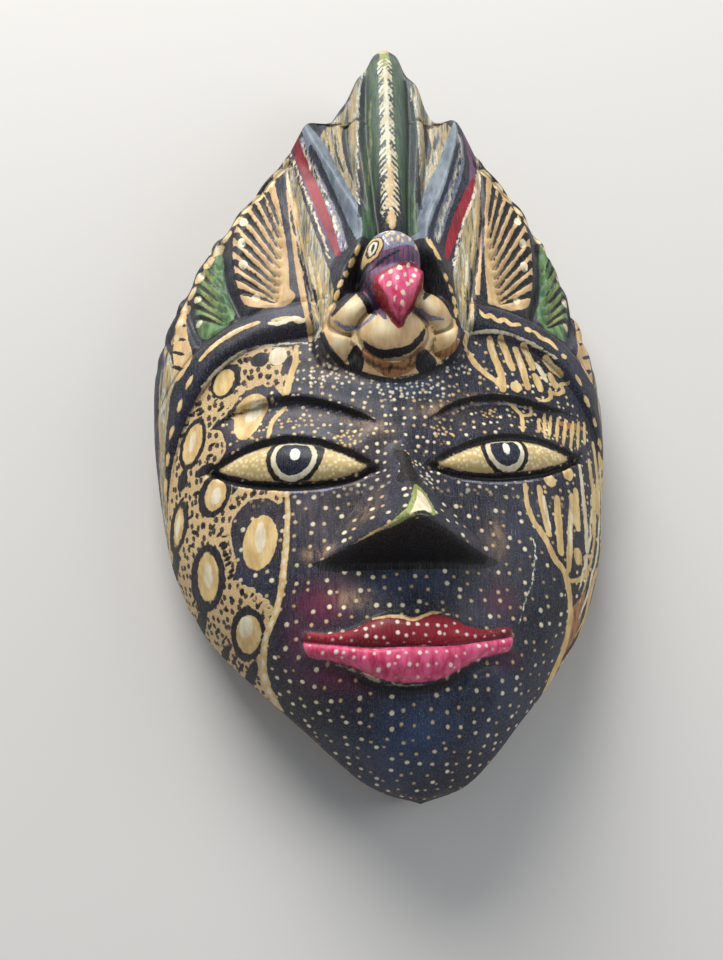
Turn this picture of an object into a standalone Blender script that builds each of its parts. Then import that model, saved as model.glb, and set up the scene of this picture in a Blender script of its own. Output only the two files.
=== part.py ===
"""A carved wooden mask with a crown, lying face up on its rim.

Run with: blender --background --python part.py
Metres, +Z up. +Y runs from the chin to the crest and +Z points out of the face.
The mask is one solid. Its front is a carved height over the outline, its back is hollow.
"""
import bpy
import bmesh
import numpy as np

# Driving dimensions
LENGTH = 0.200          # chin to crest tip
WIDTH = 0.115           # across the widest part of the crown
DEPTH = 0.062           # table to nose tip
WALL = 0.007            # least thickness between the carving and the hollow
HOLLOW_DEPTH = 0.031    # how far the back is dished
RIM_WIDTH = 0.009       # flat rim at the sides, which the mask rests on
CHIN_RIM = 0.012        # solid wood between the hollow and the chin
CREST_RIM = 0.032       # solid wood between the hollow and the crest tip
CREST_LIFT = 0.009      # how far the crest tip stands off the table
FOOT_ROUND = 0.0020     # rounding of the rim's outer corner
SIDE_TAPER = 0.0020     # how far the side wall draws in on its way down

# Resolution
FINE_GRID = 190         # cells across the fine carving before it is thinned
FRONT_TRIANGLES = 6900  # triangles kept on the carved front
HOLLOW_RINGS = (1.0, 0.975, 0.9, 0.76, 0.56, 0.3)  # from the hollow's mouth towards its middle

# The carver's pattern: every place in the carving is drawn on this sheet, in its millimetres,
# and is then a share of the mask's own width, length and depth.
SHEET_WIDTH, SHEET_LENGTH, SHEET_DEPTH = 115.0, 200.0, 62.0
SHEET_MIDDLE = -1.95    # the middle of the widest part, from the nose's line
HALF_LENGTH = SHEET_LENGTH / 2

# Half outline: half width and place along the length, from the chin to the crest tip
OUTLINE = (
    (0, -100), (11.4, -96.8), (20.1, -90.3), (28.5, -82), (36.4, -72.5), (45.6, -60),
    (51.0, -48), (53.9, -38), (56.3, -20), (57.3, -6), (57.5, 10), (55.6, 22), (52.4, 32),
    (48.9, 40), (44.2, 47), (39.2, 53), (32.2, 61), (25.8, 68), (22.4, 71.3), (20.4, 72.8),
    (17.2, 73.6), (15.2, 75.6), (10.6, 84.7), (6.4, 93), (3.6, 97.8), (0, 100),
)
# Height of the front's edge above the table, and height along the centre line
EDGE_HEIGHT = (
    (-100, 13), (-85, 10.5), (-60, 9), (-20, 8.5), (10, 9.5), (30, 12), (50, 17), (64, 22),
    (74, 24.5), (88, 23), (100, 22.5),
)
CENTRE_HEIGHT = (
    (-100, 13), (-98.5, 18.5), (-95, 25), (-88, 33), (-78, 39), (-64, 42.5), (-48, 43),
    (-34, 42.5), (-20, 42.5), (-8, 40.5), (10, 38), (30, 36), (55, 33.5), (75, 29.5), (90, 26),
    (97, 23.5), (100, 22.5),
)
FACE_ROUNDNESS = 0.60
CROWN_ROUNDNESS = 0.86

# Crown band, at its lower edge, from the middle of the forehead round and down the side
BAND = ((0, 8.4), (14, 8.2), (23, 7.8), (31, 7.0), (37.5, 4.6), (44, -0.4), (49.4, -8),
        (52.8, -18), (54.6, -31), (54.4, -44))
BAND_HEIGHT = 8.8
BAND_SLOPE = 3.6
BAND_RISE = 3.2
BAND_STEP = 1.3         # how far the crown lies below the band's top edge

# Wings: half the way between them with the ridge's height, from the tips to the boss
WING_RIDGE = ((19.8, 73.5, 32), (19.2, 67, 33.5), (16.2, 58, 35.5), (12.7, 48.5, 37.6),
              (8.8, 38.5, 40.6), (8.2, 31, 42.3), (11.3, 22.5, 42.8), (14.5, 13.5, 41),
              (16.5, 6, 38))
WING_MIDDLE = ((6, 0.4), (21, 0.5), (29, 0.9), (37, 1.7), (51, 1.8), (66, 0.8), (80, -0.3))
WING_INNER_SLOPE, WING_OUTER_SLOPE = 1.5, 1.15
WING_FLARE, WING_REACH = 0.035, 10.0
WING_EDGE = ((24.6, 66), (23.6, 51), (22.2, 36), (20, 22), (17.4, 9))
RIDGE_ROUND = 0.7
# Crest flutes: crests and valleys across it, at the height of the wing tips
CREST_RIBS = ((0, 34.5), (3.2, 33.2), (5.6, 29.6), (8.2, 31), (10.6, 28), (13.2, 28.4), (16.5, 26))
CREST_FALL = ((34, 8.5), (52, 5.5), (72, 0), (85, -2.5), (93, -5.5), (100, -9))
CREST_SPREAD = ((30, 0.62), (52, 0.82), (72, 1.0), (100, 0.92))
# The middle line bows a little to one side at the chin and at the crest, as cut by hand
MIDDLE_LINE = ((-100, 3.4), (-90, 2.6), (-82, 1.8), (-72, 0.9), (-60, 0.0), (-48, -0.6),
               (-30, -1.1), (-8, -1.5), (10, -1.95), (22, -1.8), (32, -1.0), (40, -0.4),
               (50, 0.6), (61, 0.9), (73, 1.2), (84, 2.2), (100, 3.2))
CREST_MIDDLE = ((30, 1.2), (52, 1.5), (70, 2.2), (86, 2.9), (100, 3.4))

# Bird's head, beak and boss: middle, half sizes and the height of the top, then any turn
HEAD = (-0.1, 22.8, 6.8, 7.8, 52.0)
HEAD_DOME = 5.5
BEAK_ROOT, BEAK_TIP = (0.0, 19.5, 52.0), (0.4, 6.2, 53.2)
BEAK_HALF_WIDTH = 6.9
BEAK_HALF_TIP = 0.35
BEAK_SIDES = (4.6, 2.0)  # how far the sides fall away at the root and at the tip
RECESS = (0.4, 21.0, 14.5, 9.5)
RECESS_DEPTH = 7.0
BOSS = (-0.8, 8.0, 16.4, 13.4, 43.4)
MIDDLE_LOBE = (-0.6, 5.0, 7.6, 6.4, 47.6, 0)
UPPER_LOBES = ((-9.1, 11.0, 6.6, 4.6, 45.5, 38), (8.2, 11.4, 6.2, 4.2, 45.5, -42))
LOWER_LOBES = ((-13.4, 4.4, 4.4, 5.4, 43.4, 0), (12.4, 4.6, 4.2, 5.2, 43.4, 0))
BOSS_DOME, LOBE_DOME = 3.0, 2.8

# Eyes: side, outer corner, inner corner, arch of the upper lid, sag of the lower lid
EYES = ((-1, (42.4, -23.2), (7.4, -27.3), 5.1, 4.4), (1, (43.0, -20.6), (8.0, -26.6), 3.9, 4.2))
EYE_SWELL, EYE_SINK = 1.9, 1.5
# Brow cuts: side, then the cut's run from its outer to its inner end
BROWS = ((-1, ((44, -13.4), (37.5, -9.7), (30.3, -8.4), (24.5, -8.6), (18.6, -10.1), (10.7, -13.5),
               (4.6, -17.4))),
         (1, ((46.5, -9.3), (36.1, -8.8), (28.2, -8.2), (20.6, -9.0), (12.9, -11.8), (6.0, -16.8))))
LID_DROP, LID_REACH = 2.3, 11.0

# Nose
NOSE_ROOT, NOSE_TIP = (-22.0, 43.0), (-45.0, 62.0)
NOSE_BASE = -51.0
NOSE_HALF_WIDTHS = ((-22, 3.6), (-30, 6.5), (-38, 11), (-44, 16), (-48, 18.8), (-52, 19))
NOSE_EDGE, NOSE_BULB = 0.5, 2.6

# Mouth: half of each line, from the middle to the corner
UPPER_LIP = ((0, -63.6), (4.2, -62.8), (8.7, -63.8), (13, -65.4), (17.5, -65.6), (23.4, -64.2))
LIP_LINE = ((0, -69.8), (8.5, -69.7), (16.5, -68.1), (23.4, -66.3))
LOWER_LIP = ((0, -77.3), (5.5, -76.6), (10, -74.7), (15.3, -72), (19.5, -70.6), (23.4, -69.4))
MOUTH_CORNER = 23.4
THIN_LIP = 0.45         # thickness of the lips at the corners, as a share of the middle's
UPPER_LIP_RISE, LOWER_LIP_RISE = (0.9, 1.3), (1.6, 1.8)
# Soft swellings: middle, half sizes and rise of the muzzle, the chin and the groove above the lip
SWELLINGS = ((0, -70, 31, 17, 2.6), (0, -89, 20, 12, 2.4), (0, -58, 2.2, 5.5, -0.5))

# Cuts: depth and reach to either side
BAND_CUT = (0.8, 1.3)
PANEL_CUT = (1.5, 1.9)
PANEL_SWELL, PANEL_SWELL_PLACE = (0.5, 2.6), 3.2
WING_CUT = (1.1, 1.5)
BORDER_CUT = (0.7, 0.9)
RAY_CUT = (0.7, 1.0)
UNDER_EYE_CUT, OVER_EYE_CUT = (3.2, 1.5), (1.5, 0.9)
LIP_CUT, UNDER_LIP_CUT = (0.9, 0.9), (1.4, 2.6)
# Cuts round the boss's lobes, in shares of each lobe: depth, place and reach
LOWER_LOBE_CUT, UPPER_LOBE_CUT = (0.8, 1.05, 0.22), (1.3, 1.08, 0.2)

# Crown panels: grooves between them and the rays of each fan
PANEL_GROOVES = (((40, 50), (41, 40), (40.4, 29), (36.4, 16)),
                 ((52, 38), (50.6, 29), (48.8, 20), (45.6, 10)))
# Each fan: where its first and last ray start, where they end, the bulge between, the rays
FANS = (((27.6, 18.2), (26.0, 41), (35.4, 22.6), (30.4, 57.5), 2.4, 10),
        ((39.8, 14.4), (42.0, 33), (46.6, 18.8), (44.4, 40.5), 1.4, 7))
EDGE_BAND = 4.2
SCALLOP_PITCH, SCALLOP_DEPTH = 7.6, 0.7


def clear_scene():
    for item in list(bpy.data.objects):
        bpy.data.objects.remove(item, do_unlink=True)


def ease(start, end, value):
    """A smooth step from 0 at start to 1 at end."""
    t = np.clip((value - start) / (end - start), 0.0, 1.0)
    return t * t * (3 - 2 * t)


def soft_max(a, b, blend):
    return 0.5 * (a + b + np.sqrt((a - b) ** 2 + blend ** 2))


def hump(distance, reach):
    """1 at the middle, falling smoothly to 0 at the reach."""
    t = np.clip(np.abs(distance) / reach, 0.0, 1.0)
    return (1 - t * t) ** 2


def cut(distance, size):
    """The depth of a rounded cut, whose size is its depth and its reach."""
    depth, reach = size
    return depth * hump(distance, reach)


def smooth_curve(points, steps=10):
    """Points along a smooth curve through the given ones."""
    p = np.asarray(points, dtype=float)
    p = np.vstack([2 * p[0] - p[1], p, 2 * p[-1] - p[-2]])
    t = np.linspace(0.0, 1.0, steps, endpoint=False)[:, None]
    spans = [0.5 * (2 * b + (c - a) * t + (2 * a - 5 * b + 4 * c - d) * t ** 2
                    + (3 * b - a - 3 * c + d) * t ** 3)
             for a, b, c, d in zip(p, p[1:], p[2:], p[3:])]
    return np.vstack(spans + [p[-2:-1]])


def profile(points, at):
    """A smooth value read along its first coordinate."""
    curve = smooth_curve(points)
    return np.interp(at, curve[:, 0], curve[:, 1])


def to_curve(x, y, points):
    """Distance to a curve, the side it lies on (+1 left of its run) and the share along it."""
    curve = smooth_curve(points, 8)
    flat = curve[:, :2]
    lengths = np.linalg.norm(np.diff(flat, axis=0), axis=1)
    total = lengths.sum()
    best = np.full(np.shape(x), 1e9)
    side = np.ones(np.shape(x))
    share = np.zeros(np.shape(x))
    run = 0.0
    for (ax, ay), (bx, by), length in zip(flat, flat[1:], lengths):
        ux, uy = (bx - ax) / length, (by - ay) / length
        along = np.clip((x - ax) * ux + (y - ay) * uy, 0.0, length)
        dx, dy = x - ax - ux * along, y - ay - uy * along
        distance = np.hypot(dx, dy)
        nearer = distance < best
        best = np.where(nearer, distance, best)
        side = np.where(nearer, np.sign(ux * dy - uy * dx + 1e-9), side)
        share = np.where(nearer, (run + along) / total, share)
        run += length
    return best, side, share


def half_width(y):
    """Half the outline's width, with small scallops along the crown's edge."""
    curve = smooth_curve([(along, half) for half, along in OUTLINE])
    width = np.interp(y, curve[:, 0], curve[:, 1])
    scallop = np.abs(np.sin(np.pi * (y - 8) / SCALLOP_PITCH)) - 1
    crown = ease(6, 12, y) * ease(70, 62, y)
    return np.maximum(width + SCALLOP_DEPTH * scallop * crown, 0.0)


def oval(x, y, centre_x, centre_y, half_x, half_y, turn=0.0):
    """0 at an oval's middle and 1 on its outline; turn is in degrees."""
    c, s = np.cos(np.radians(turn)), np.sin(np.radians(turn))
    dx, dy = x - centre_x, y - centre_y
    return np.hypot((dx * c + dy * s) / half_x, (dy * c - dx * s) / half_y)


def body_height(x, y):
    """The plain rounded block, before any carving."""
    across = np.abs(x - profile(MIDDLE_LINE, y))
    share = np.clip(across / np.maximum(half_width(y), 0.5), 0.0, 1.0)
    power = FACE_ROUNDNESS + (CROWN_ROUNDNESS - FACE_ROUNDNESS) * ease(2, 22, y)
    edge, centre = profile(EDGE_HEIGHT, y), profile(CENTRE_HEIGHT, y)
    return edge + (centre - edge) * (1 - share ** 2) ** power


def edge_distance(x, y):
    """How far a place lies inside the outline, measured straight across."""
    return half_width(y) - np.abs(x - profile(MIDDLE_LINE, y))


def carve_crown(x, y, z):
    """The band over the forehead, the fans behind it and the crown's edge."""
    side = np.abs(x)
    distance, turn, along = to_curve(side, y, BAND)
    above = distance * turn
    fade = (1 - 0.75 * ease(0.55, 1.0, along)) * ease(1.0, 0.97, along)
    climb = 1 - (1 - np.clip(above / BAND_SLOPE, 0.0, 1.0)) ** 2.4
    z = z + BAND_RISE * fade * climb
    behind = above - BAND_HEIGHT
    z = z - BAND_STEP * ease(-0.8, 0.8, behind) - cut(behind, BAND_CUT)
    panels = ease(0.4, 1.6, behind)
    for groove in PANEL_GROOVES:
        gap = to_curve(side, y, groove)[0]
        z = z - panels * (cut(gap, PANEL_CUT) - cut(gap - PANEL_SWELL_PLACE, PANEL_SWELL))
    edge_gap = np.maximum(edge_distance(x, y), 0.0) * np.cos(np.arctan(ease(20, 70, y) * 1.3))
    wing_gap = to_curve(np.abs(x - profile(WING_MIDDLE, y)), y, WING_EDGE)[0]
    z = z - cut(wing_gap, WING_CUT) * ease(8, 12, y)
    z = z - cut(edge_gap - EDGE_BAND, BORDER_CUT) * ease(8, 14, y) * ease(72, 66, y) * panels
    inside = ease(EDGE_BAND - 0.4, EDGE_BAND + 1.2, edge_gap) * panels
    for low_start, high_start, low_end, high_end, bulge, rays in FANS:
        for step in range(rays):
            t = step / (rays - 1)
            start = (low_start[0] + (high_start[0] - low_start[0]) * t ** 1.4,
                     low_start[1] + (high_start[1] - low_start[1]) * t ** 1.4)
            end = (low_end[0] + (high_end[0] - low_end[0]) * t + bulge * np.sin(np.pi * t),
                   low_end[1] + (high_end[1] - low_end[1]) * t)
            z = z - inside * cut(to_curve(side, y, (start, end))[0], RAY_CUT)
    return z


def carve_crest(x, y, z):
    """The fluted crest that rises behind the bird's head."""
    spread = profile(CREST_SPREAD, y)
    across = np.abs(x - profile(CREST_MIDDLE, y)) / spread
    height = profile(CREST_RIBS, across) + profile(CREST_FALL, y)
    inside = ease(17.5, 12.5, across) * ease(26, 34, y)
    edge = ease(-0.8, 1.7, edge_distance(x, y))
    return z + (height - z) * edge * inside


def carve_wings(x, y, z):
    """Two raised blades, plain inside and broad outside."""
    side = np.abs(x - profile(WING_MIDDLE, y))
    ridge = smooth_curve(WING_RIDGE)
    distance, turn, along = to_curve(side, y, WING_RIDGE)
    steps = np.concatenate([[0], np.cumsum(np.hypot(*np.diff(ridge[:, :2], axis=0).T))])
    top = np.interp(along, steps / steps[-1], ridge[:, 2])
    rounded = np.sqrt(distance ** 2 + RIDGE_ROUND ** 2) - RIDGE_ROUND
    slope = np.where(turn > 0, WING_INNER_SLOPE, WING_OUTER_SLOPE)
    flare = np.where(turn > 0, 0.0, WING_FLARE) * np.minimum(rounded, WING_REACH) ** 2
    return soft_max(z, top - slope * rounded + flare, 0.8)


def carve_lobe(x, y, z, lobe, size):
    """One rounded lobe of the boss, with a cut round it."""
    centre_x, centre_y, half_x, half_y, top, turn = lobe
    depth, place, width = size
    reach = oval(x, y, centre_x, centre_y, half_x, half_y, turn)
    z = np.where(reach < 1.25, soft_max(z, top - LOBE_DOME * reach ** 2, 0.3), z)
    return z - depth * hump(reach - place, width)


def carve_bird(x, y, z):
    """The bird's head with its beak, over a dark recess, and the lobed boss below it."""
    recess = hump(oval(x, y, *RECESS), 1.0) * ease(9, 15, y)
    z = z - RECESS_DEPTH * recess * ease(13.5, 10.5, np.abs(x))
    reach = oval(x, y, *BOSS[:4])
    boss = BOSS[4] - BOSS_DOME * reach ** 2
    z = z + (np.maximum(boss, z) - z) * ease(1.05, 0.95, reach) * ease(17, 14, y)
    for lobe in LOWER_LOBES:
        z = carve_lobe(x, y, z, lobe, LOWER_LOBE_CUT)
    for lobe in UPPER_LOBES + (MIDDLE_LOBE,):
        z = carve_lobe(x, y, z, lobe, UPPER_LOBE_CUT)
    reach = oval(x, y, *HEAD[:4])
    head = HEAD[4] - HEAD_DOME * reach ** 2.4
    z = z + (np.maximum(head, z) - z) * ease(1.12, 0.98, reach)
    t = np.clip((BEAK_ROOT[1] - y) / (BEAK_ROOT[1] - BEAK_TIP[1]), 0.0, 1.0)
    middle = BEAK_ROOT[0] + (BEAK_TIP[0] - BEAK_ROOT[0]) * t
    half = BEAK_HALF_WIDTH * (1 - t ** 1.3) + BEAK_HALF_TIP
    share = np.abs(x - middle) / half
    crown = BEAK_ROOT[2] + (BEAK_TIP[2] - BEAK_ROOT[2]) * t + 1.2 * np.sin(np.pi * t)
    fall = BEAK_SIDES[0] + (BEAK_SIDES[1] - BEAK_SIDES[0]) * t
    beak = crown - fall * np.sqrt(share ** 2 + 0.04)
    on_beak = ease(1.14, 0.98, share) * ease(BEAK_TIP[1] - 0.9, BEAK_TIP[1] + 0.3, y)
    on_beak = on_beak * ease(BEAK_ROOT[1] + 2, BEAK_ROOT[1] - 0.5, y)
    return z + (np.maximum(beak, z) - z) * on_beak


def eye_lines(x, eye):
    """The upper and the lower lid's line of one eye at x, and the share across it."""
    side, outer, inner, arch, sag = eye
    t = (side * x - inner[0]) / (outer[0] - inner[0])
    chord = inner[1] + (outer[1] - inner[1]) * t
    bow = 4 * np.clip(t, 0.0, 1.0) * (1 - np.clip(t, 0.0, 1.0))
    return chord + arch * bow ** 1.15, chord - sag * bow ** 0.75, t


def carve_eyes(x, y, z):
    """Sockets under the brow's cut, and almond eyes over a deep lower cut."""
    for side, brow in BROWS:
        distance, turn, along = to_curve(side * x, y, brow)
        below = distance * turn
        lid = ease(-0.3, 0.4, below) * ease(LID_REACH, 2.0, below) * ease(0.0, 0.3, along)
        z = z - LID_DROP * lid * ease(1.0, 0.85, along) * (side * x > 0)
    for eye in EYES:
        mine = eye[0] * x > 0
        upper, lower, t = eye_lines(x, eye)
        middle, half = (upper + lower) / 2, np.maximum((upper - lower) / 2, 0.05)
        across = (y - middle) / half
        span = ease(-0.02, 0.04, t) * ease(1.02, 0.96, t) * mine
        swell = (1 - np.clip(np.abs(across), 0, 1) ** 2) * np.clip(4 * t * (1 - t), 0, 1)
        z = z + ease(1.06, 0.94, np.abs(across)) * span * (EYE_SWELL * swell - EYE_SINK)
        tail = ease(-0.12, 0.02, t) * ease(1.10, 1.0, t) * mine
        z = z - cut(y - (lower - 1.0), UNDER_EYE_CUT) * tail - cut(y - (upper + 0.5), OVER_EYE_CUT) * span
    return z


def carve_nose(x, y, z):
    """A sharp wedge of a nose, with a flat underside that faces the chin."""
    t = np.clip((NOSE_ROOT[0] - y) / (NOSE_ROOT[0] - NOSE_TIP[0]), 0.0, 1.0)
    ridge = NOSE_ROOT[1] + (NOSE_TIP[1] - NOSE_ROOT[1]) * t ** 1.12
    half = profile(NOSE_HALF_WIDTHS[::-1], y)
    blunt = NOSE_EDGE + (NOSE_BULB - NOSE_EDGE) * ease(-38, -45, y)
    share = np.clip((np.sqrt(x ** 2 + blunt ** 2) - blunt) / (half - blunt), 0.0, 1.0)
    root = ease(NOSE_ROOT[0] + 5, NOSE_ROOT[0] - 2, y)
    rise = np.maximum(ridge - profile(CENTRE_HEIGHT, y), 0.0) * root
    tent = rise * (1 - share) ** 1.25 * (1 + 0.35 * share)
    brink = np.maximum(NOSE_TIP[0] - 0.6 - 0.12 * np.abs(x), NOSE_BASE + 1)
    return z + tent * ease(NOSE_BASE, brink, y) ** 0.8


def carve_mouth(x, y, z):
    """Full lips with a cut between them, and a rounded chin."""
    side = np.abs(x)
    upper, line, lower = (profile(points, side) for points in (UPPER_LIP, LIP_LINE, LOWER_LIP))
    for centre_x, centre_y, half_x, half_y, rise in SWELLINGS:
        z = z + rise * hump(oval(x, y, centre_x, centre_y, half_x, half_y), 1.0)
    width = ease(MOUTH_CORNER + 0.7, MOUTH_CORNER - 0.7, side)
    thick = width * (THIN_LIP + (1 - THIN_LIP) * ease(24, 8, side))
    on_upper = ease(line - 0.2, line + 0.3, y) * ease(upper + 0.6, upper - 0.5, y)
    on_lower = ease(line + 0.2, line - 0.3, y) * ease(lower - 0.7, lower + 0.5, y)
    tilt = np.clip((upper - y) / np.maximum(upper - line, 0.5), 0, 1)
    roll = np.clip((y - lower) / np.maximum(line - lower, 0.5), 0, 1)
    low, full = UPPER_LIP_RISE
    z = z + thick * on_upper * (low + full * np.sin(np.pi * 0.75 * tilt))
    low, full = LOWER_LIP_RISE
    z = z + thick * on_lower * (low + full * np.sin(np.pi * (0.15 + 0.75 * roll)))
    return z - width * cut(y - line, LIP_CUT) - ease(24, 16, side) * cut(y - (lower - 1.6), UNDER_LIP_CUT)


def carved_height(x, y):
    """Height of the carved front over the table, all in the sheet's millimetres."""
    z = body_height(x, y)
    z = carve_crown(x, y, z)
    z = carve_crest(x, y, z)
    z = carve_wings(x, y, z)
    z = carve_eyes(x, y, z)
    z = carve_nose(x, y, z)
    z = carve_mouth(x, y, z)
    return carve_bird(x, y, z)


def to_metres(x, y, z):
    """From the sheet to the mask's own size."""
    scaled = ((np.asarray(x) - SHEET_MIDDLE) * WIDTH / SHEET_WIDTH,
              np.asarray(y) * LENGTH / SHEET_LENGTH, np.asarray(z) * DEPTH / SHEET_DEPTH)
    return np.stack(np.broadcast_arrays(*scaled), axis=-1)


def fine_front():
    """A fine grid, drawn out to the outline and raised to the carving."""
    shape = bmesh.new()
    bmesh.ops.create_grid(shape, x_segments=FINE_GRID, y_segments=FINE_GRID, size=1.0)
    grid = np.array([vert.co for vert in shape.verts])
    u, v = grid[:, 0], grid[:, 1]
    round_x = u * np.sqrt(1 - v ** 2 / 2)
    round_y = v * np.sqrt(1 - u ** 2 / 2)
    y = HALF_LENGTH * round_y
    reach = np.sqrt(np.maximum(1 - round_y ** 2, 1e-12))
    x = profile(MIDDLE_LINE, y) + half_width(y) * np.clip(round_x / reach, -1, 1)
    for vert, place in zip(shape.verts, to_metres(x, y, carved_height(x, y))):
        vert.co = place
    bmesh.ops.triangulate(shape, faces=shape.faces[:])
    mesh = bpy.data.meshes.new("fine_front")
    shape.to_mesh(mesh)
    shape.free()
    return mesh


def thinned(mesh, triangles):
    """The same surface with triangles only where the carving needs them."""
    carrier = bpy.data.objects.new("fine_front", mesh)
    bpy.context.scene.collection.objects.link(carrier)
    thin = carrier.modifiers.new("thin", "DECIMATE")
    thin.ratio = triangles / len(mesh.polygons)
    graph = bpy.context.evaluated_depsgraph_get()
    result = bpy.data.meshes.new_from_object(carrier.evaluated_get(graph))
    bpy.data.objects.remove(carrier, do_unlink=True)
    bpy.data.meshes.remove(mesh)
    return result


def middle_line(y):
    """The outline's bowed middle at y, in metres."""
    return (profile(MIDDLE_LINE, y * SHEET_LENGTH / LENGTH) - SHEET_MIDDLE) * WIDTH / SHEET_WIDTH


def crest_lift(y):
    """How far the underside of the crest rises off the table at y, in metres."""
    start = LENGTH / 2 - CREST_RIM - RIM_WIDTH / 2
    t = np.clip((y - start) / (LENGTH / 2 - start), 0.0, 1.0)
    return CREST_LIFT * t ** 1.5


def hollow_ring(edge, scale):
    """A ring of the hollow: scale 1 is its mouth on the rim, and 0 its deepest point."""
    low, high = -LENGTH / 2 + CHIN_RIM, LENGTH / 2 - CREST_RIM
    slant = np.clip(edge[:, 1] / (LENGTH / 2), -1, 1)
    y = (low + high) / 2 + (high - low) / 2 * slant * scale
    edge_bow = middle_line(edge[:, 1])
    half = (WIDTH / 2 - RIM_WIDTH) * np.sqrt(1 - slant ** 2) ** 1.15
    x = middle_line(y) + np.sign(edge[:, 0] - edge_bow) * half * scale
    dome = HOLLOW_DEPTH * (1 - scale ** 2.4) ** 0.55
    sheet_x = x * SHEET_WIDTH / WIDTH + SHEET_MIDDLE
    carving = carved_height(sheet_x, y * SHEET_LENGTH / LENGTH) * DEPTH / SHEET_DEPTH
    z = np.maximum(np.minimum(dome, carving - WALL), 0.0) if scale < 1 else np.zeros(len(x))
    return np.column_stack([x, y, z])


def next_ring(shape, corners, edges, places):
    """Extrude a closed ring of edges and move each new corner to its own place."""
    made = bmesh.ops.extrude_edge_only(shape, edges=edges)["geom"]
    fresh = {item for item in made if isinstance(item, bmesh.types.BMVert)}
    moved = []
    for corner, place in zip(corners, places):
        partner = next(edge.other_vert(corner) for edge in corner.link_edges
                       if edge.other_vert(corner) in fresh)
        partner.co = place
        moved.append(partner)
    outer = [item for item in made if isinstance(item, bmesh.types.BMEdge)
             and item.verts[0] in fresh and item.verts[1] in fresh]
    return moved, outer


def build_mask():
    """The carved front, its side wall, the rim that it rests on and the hollow back."""
    mesh = thinned(fine_front(), FRONT_TRIANGLES)
    shape = bmesh.new()
    shape.from_mesh(mesh)
    bpy.data.meshes.remove(mesh)
    edges = [edge for edge in shape.edges if edge.is_boundary]
    corners = list(dict.fromkeys(vert for edge in edges for vert in edge.verts))
    edge = np.array([vert.co for vert in corners])
    lift = crest_lift(edge[:, 1])
    inward = -edge[:, :2] / np.linalg.norm(edge[:, :2], axis=1)[:, None]
    rings = [np.column_stack([edge[:, :2] + inward * SIDE_TAPER, lift + FOOT_ROUND]),
             np.column_stack([edge[:, :2] + inward * (SIDE_TAPER + FOOT_ROUND), lift])]
    rings += [hollow_ring(edge, scale) for scale in HOLLOW_RINGS]
    for ring in rings:
        corners, edges = next_ring(shape, corners, edges, ring)
    bottom = hollow_ring(edge, 0.0)
    corners, edges = next_ring(shape, corners, edges, bottom)
    bmesh.ops.pointmerge(shape, verts=corners, merge_co=bottom[0])
    bmesh.ops.triangulate(shape, faces=shape.faces[:])
    bmesh.ops.recalc_face_normals(shape, faces=shape.faces[:])
    result = bpy.data.meshes.new("mask")
    shape.to_mesh(result)
    shape.free()
    return result


def painted_wood():
    material = bpy.data.materials.new("painted_wood")
    material.use_nodes = True
    shader = material.node_tree.nodes["Principled BSDF"]
    shader.inputs["Base Color"].default_value = (0.045, 0.04, 0.05, 1)
    shader.inputs["Roughness"].default_value = 0.35
    shader.inputs["Metallic"].default_value = 0.0
    return material


def main():
    clear_scene()
    mesh = build_mask()
    mesh.materials.append(painted_wood())
    mesh.shade_smooth()
    mesh.set_sharp_from_angle(angle=np.radians(40))
    mask = bpy.data.objects.new("mask", mesh)
    bpy.context.scene.collection.objects.link(mask)


main()
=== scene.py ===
# %% [markdown]
# # A batik mask, dressed over its CAD solid
# The mask is one block of light wood, carved in front, hollow behind and painted over its front.
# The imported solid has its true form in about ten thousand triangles. This script makes the same
# surface again from the same carver's pattern, fine enough to carry brush strokes and knife
# marks. A sculpted copy would drift from the solid, and a pattern worked out twice does not.

# %% Load the frame
import bmesh
import bpy
import numpy as np
from mathutils import Matrix, Vector


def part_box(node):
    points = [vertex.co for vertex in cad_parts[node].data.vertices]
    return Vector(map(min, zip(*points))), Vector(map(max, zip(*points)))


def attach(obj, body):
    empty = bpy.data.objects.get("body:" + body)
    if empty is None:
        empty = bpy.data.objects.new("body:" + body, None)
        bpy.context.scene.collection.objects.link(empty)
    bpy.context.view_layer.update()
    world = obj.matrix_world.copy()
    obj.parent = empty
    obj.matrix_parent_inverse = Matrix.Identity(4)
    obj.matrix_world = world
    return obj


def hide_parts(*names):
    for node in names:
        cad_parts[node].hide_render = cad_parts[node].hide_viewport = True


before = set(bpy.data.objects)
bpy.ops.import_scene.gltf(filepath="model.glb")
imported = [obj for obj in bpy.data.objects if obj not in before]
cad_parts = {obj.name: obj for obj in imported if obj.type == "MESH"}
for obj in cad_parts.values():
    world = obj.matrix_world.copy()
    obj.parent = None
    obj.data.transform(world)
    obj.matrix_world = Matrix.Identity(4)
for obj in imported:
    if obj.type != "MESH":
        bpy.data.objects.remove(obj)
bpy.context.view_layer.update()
low, high = (Vector(corner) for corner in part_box("mask"))
print("the solid reaches from", tuple(low), "to", tuple(high))

# %% [markdown]
# ## The carver's pattern
# Places are drawn on a sheet in millimetres: x to the viewer's right from the nose's line, y from
# the chin to the crest, z off the table. The sheet is 200 mm long, as the solid is, so one factor
# turns it into metres. Numbers on a sheet are easier to read than metres with many zeros.

# %% The sheet
# Every place in the carving is drawn on a sheet of this size
SHEET_WIDTH, SHEET_LENGTH = 115.0, 200.0
SHEET_MIDDLE = -1.95    # the middle of the widest part, from the nose's line
HALF_LENGTH = SHEET_LENGTH / 2
METRES = (high.y - low.y) / SHEET_LENGTH
print("one sheet millimetre is", METRES, "m")

# %% Small tools for smooth forms


def ease(start, end, value):
    """A smooth step from 0 at start to 1 at end."""
    t = np.clip((value - start) / (end - start), 0.0, 1.0)
    return t * t * (3 - 2 * t)


def soft_max(a, b, blend):
    return 0.5 * (a + b + np.sqrt((a - b) ** 2 + blend ** 2))


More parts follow.
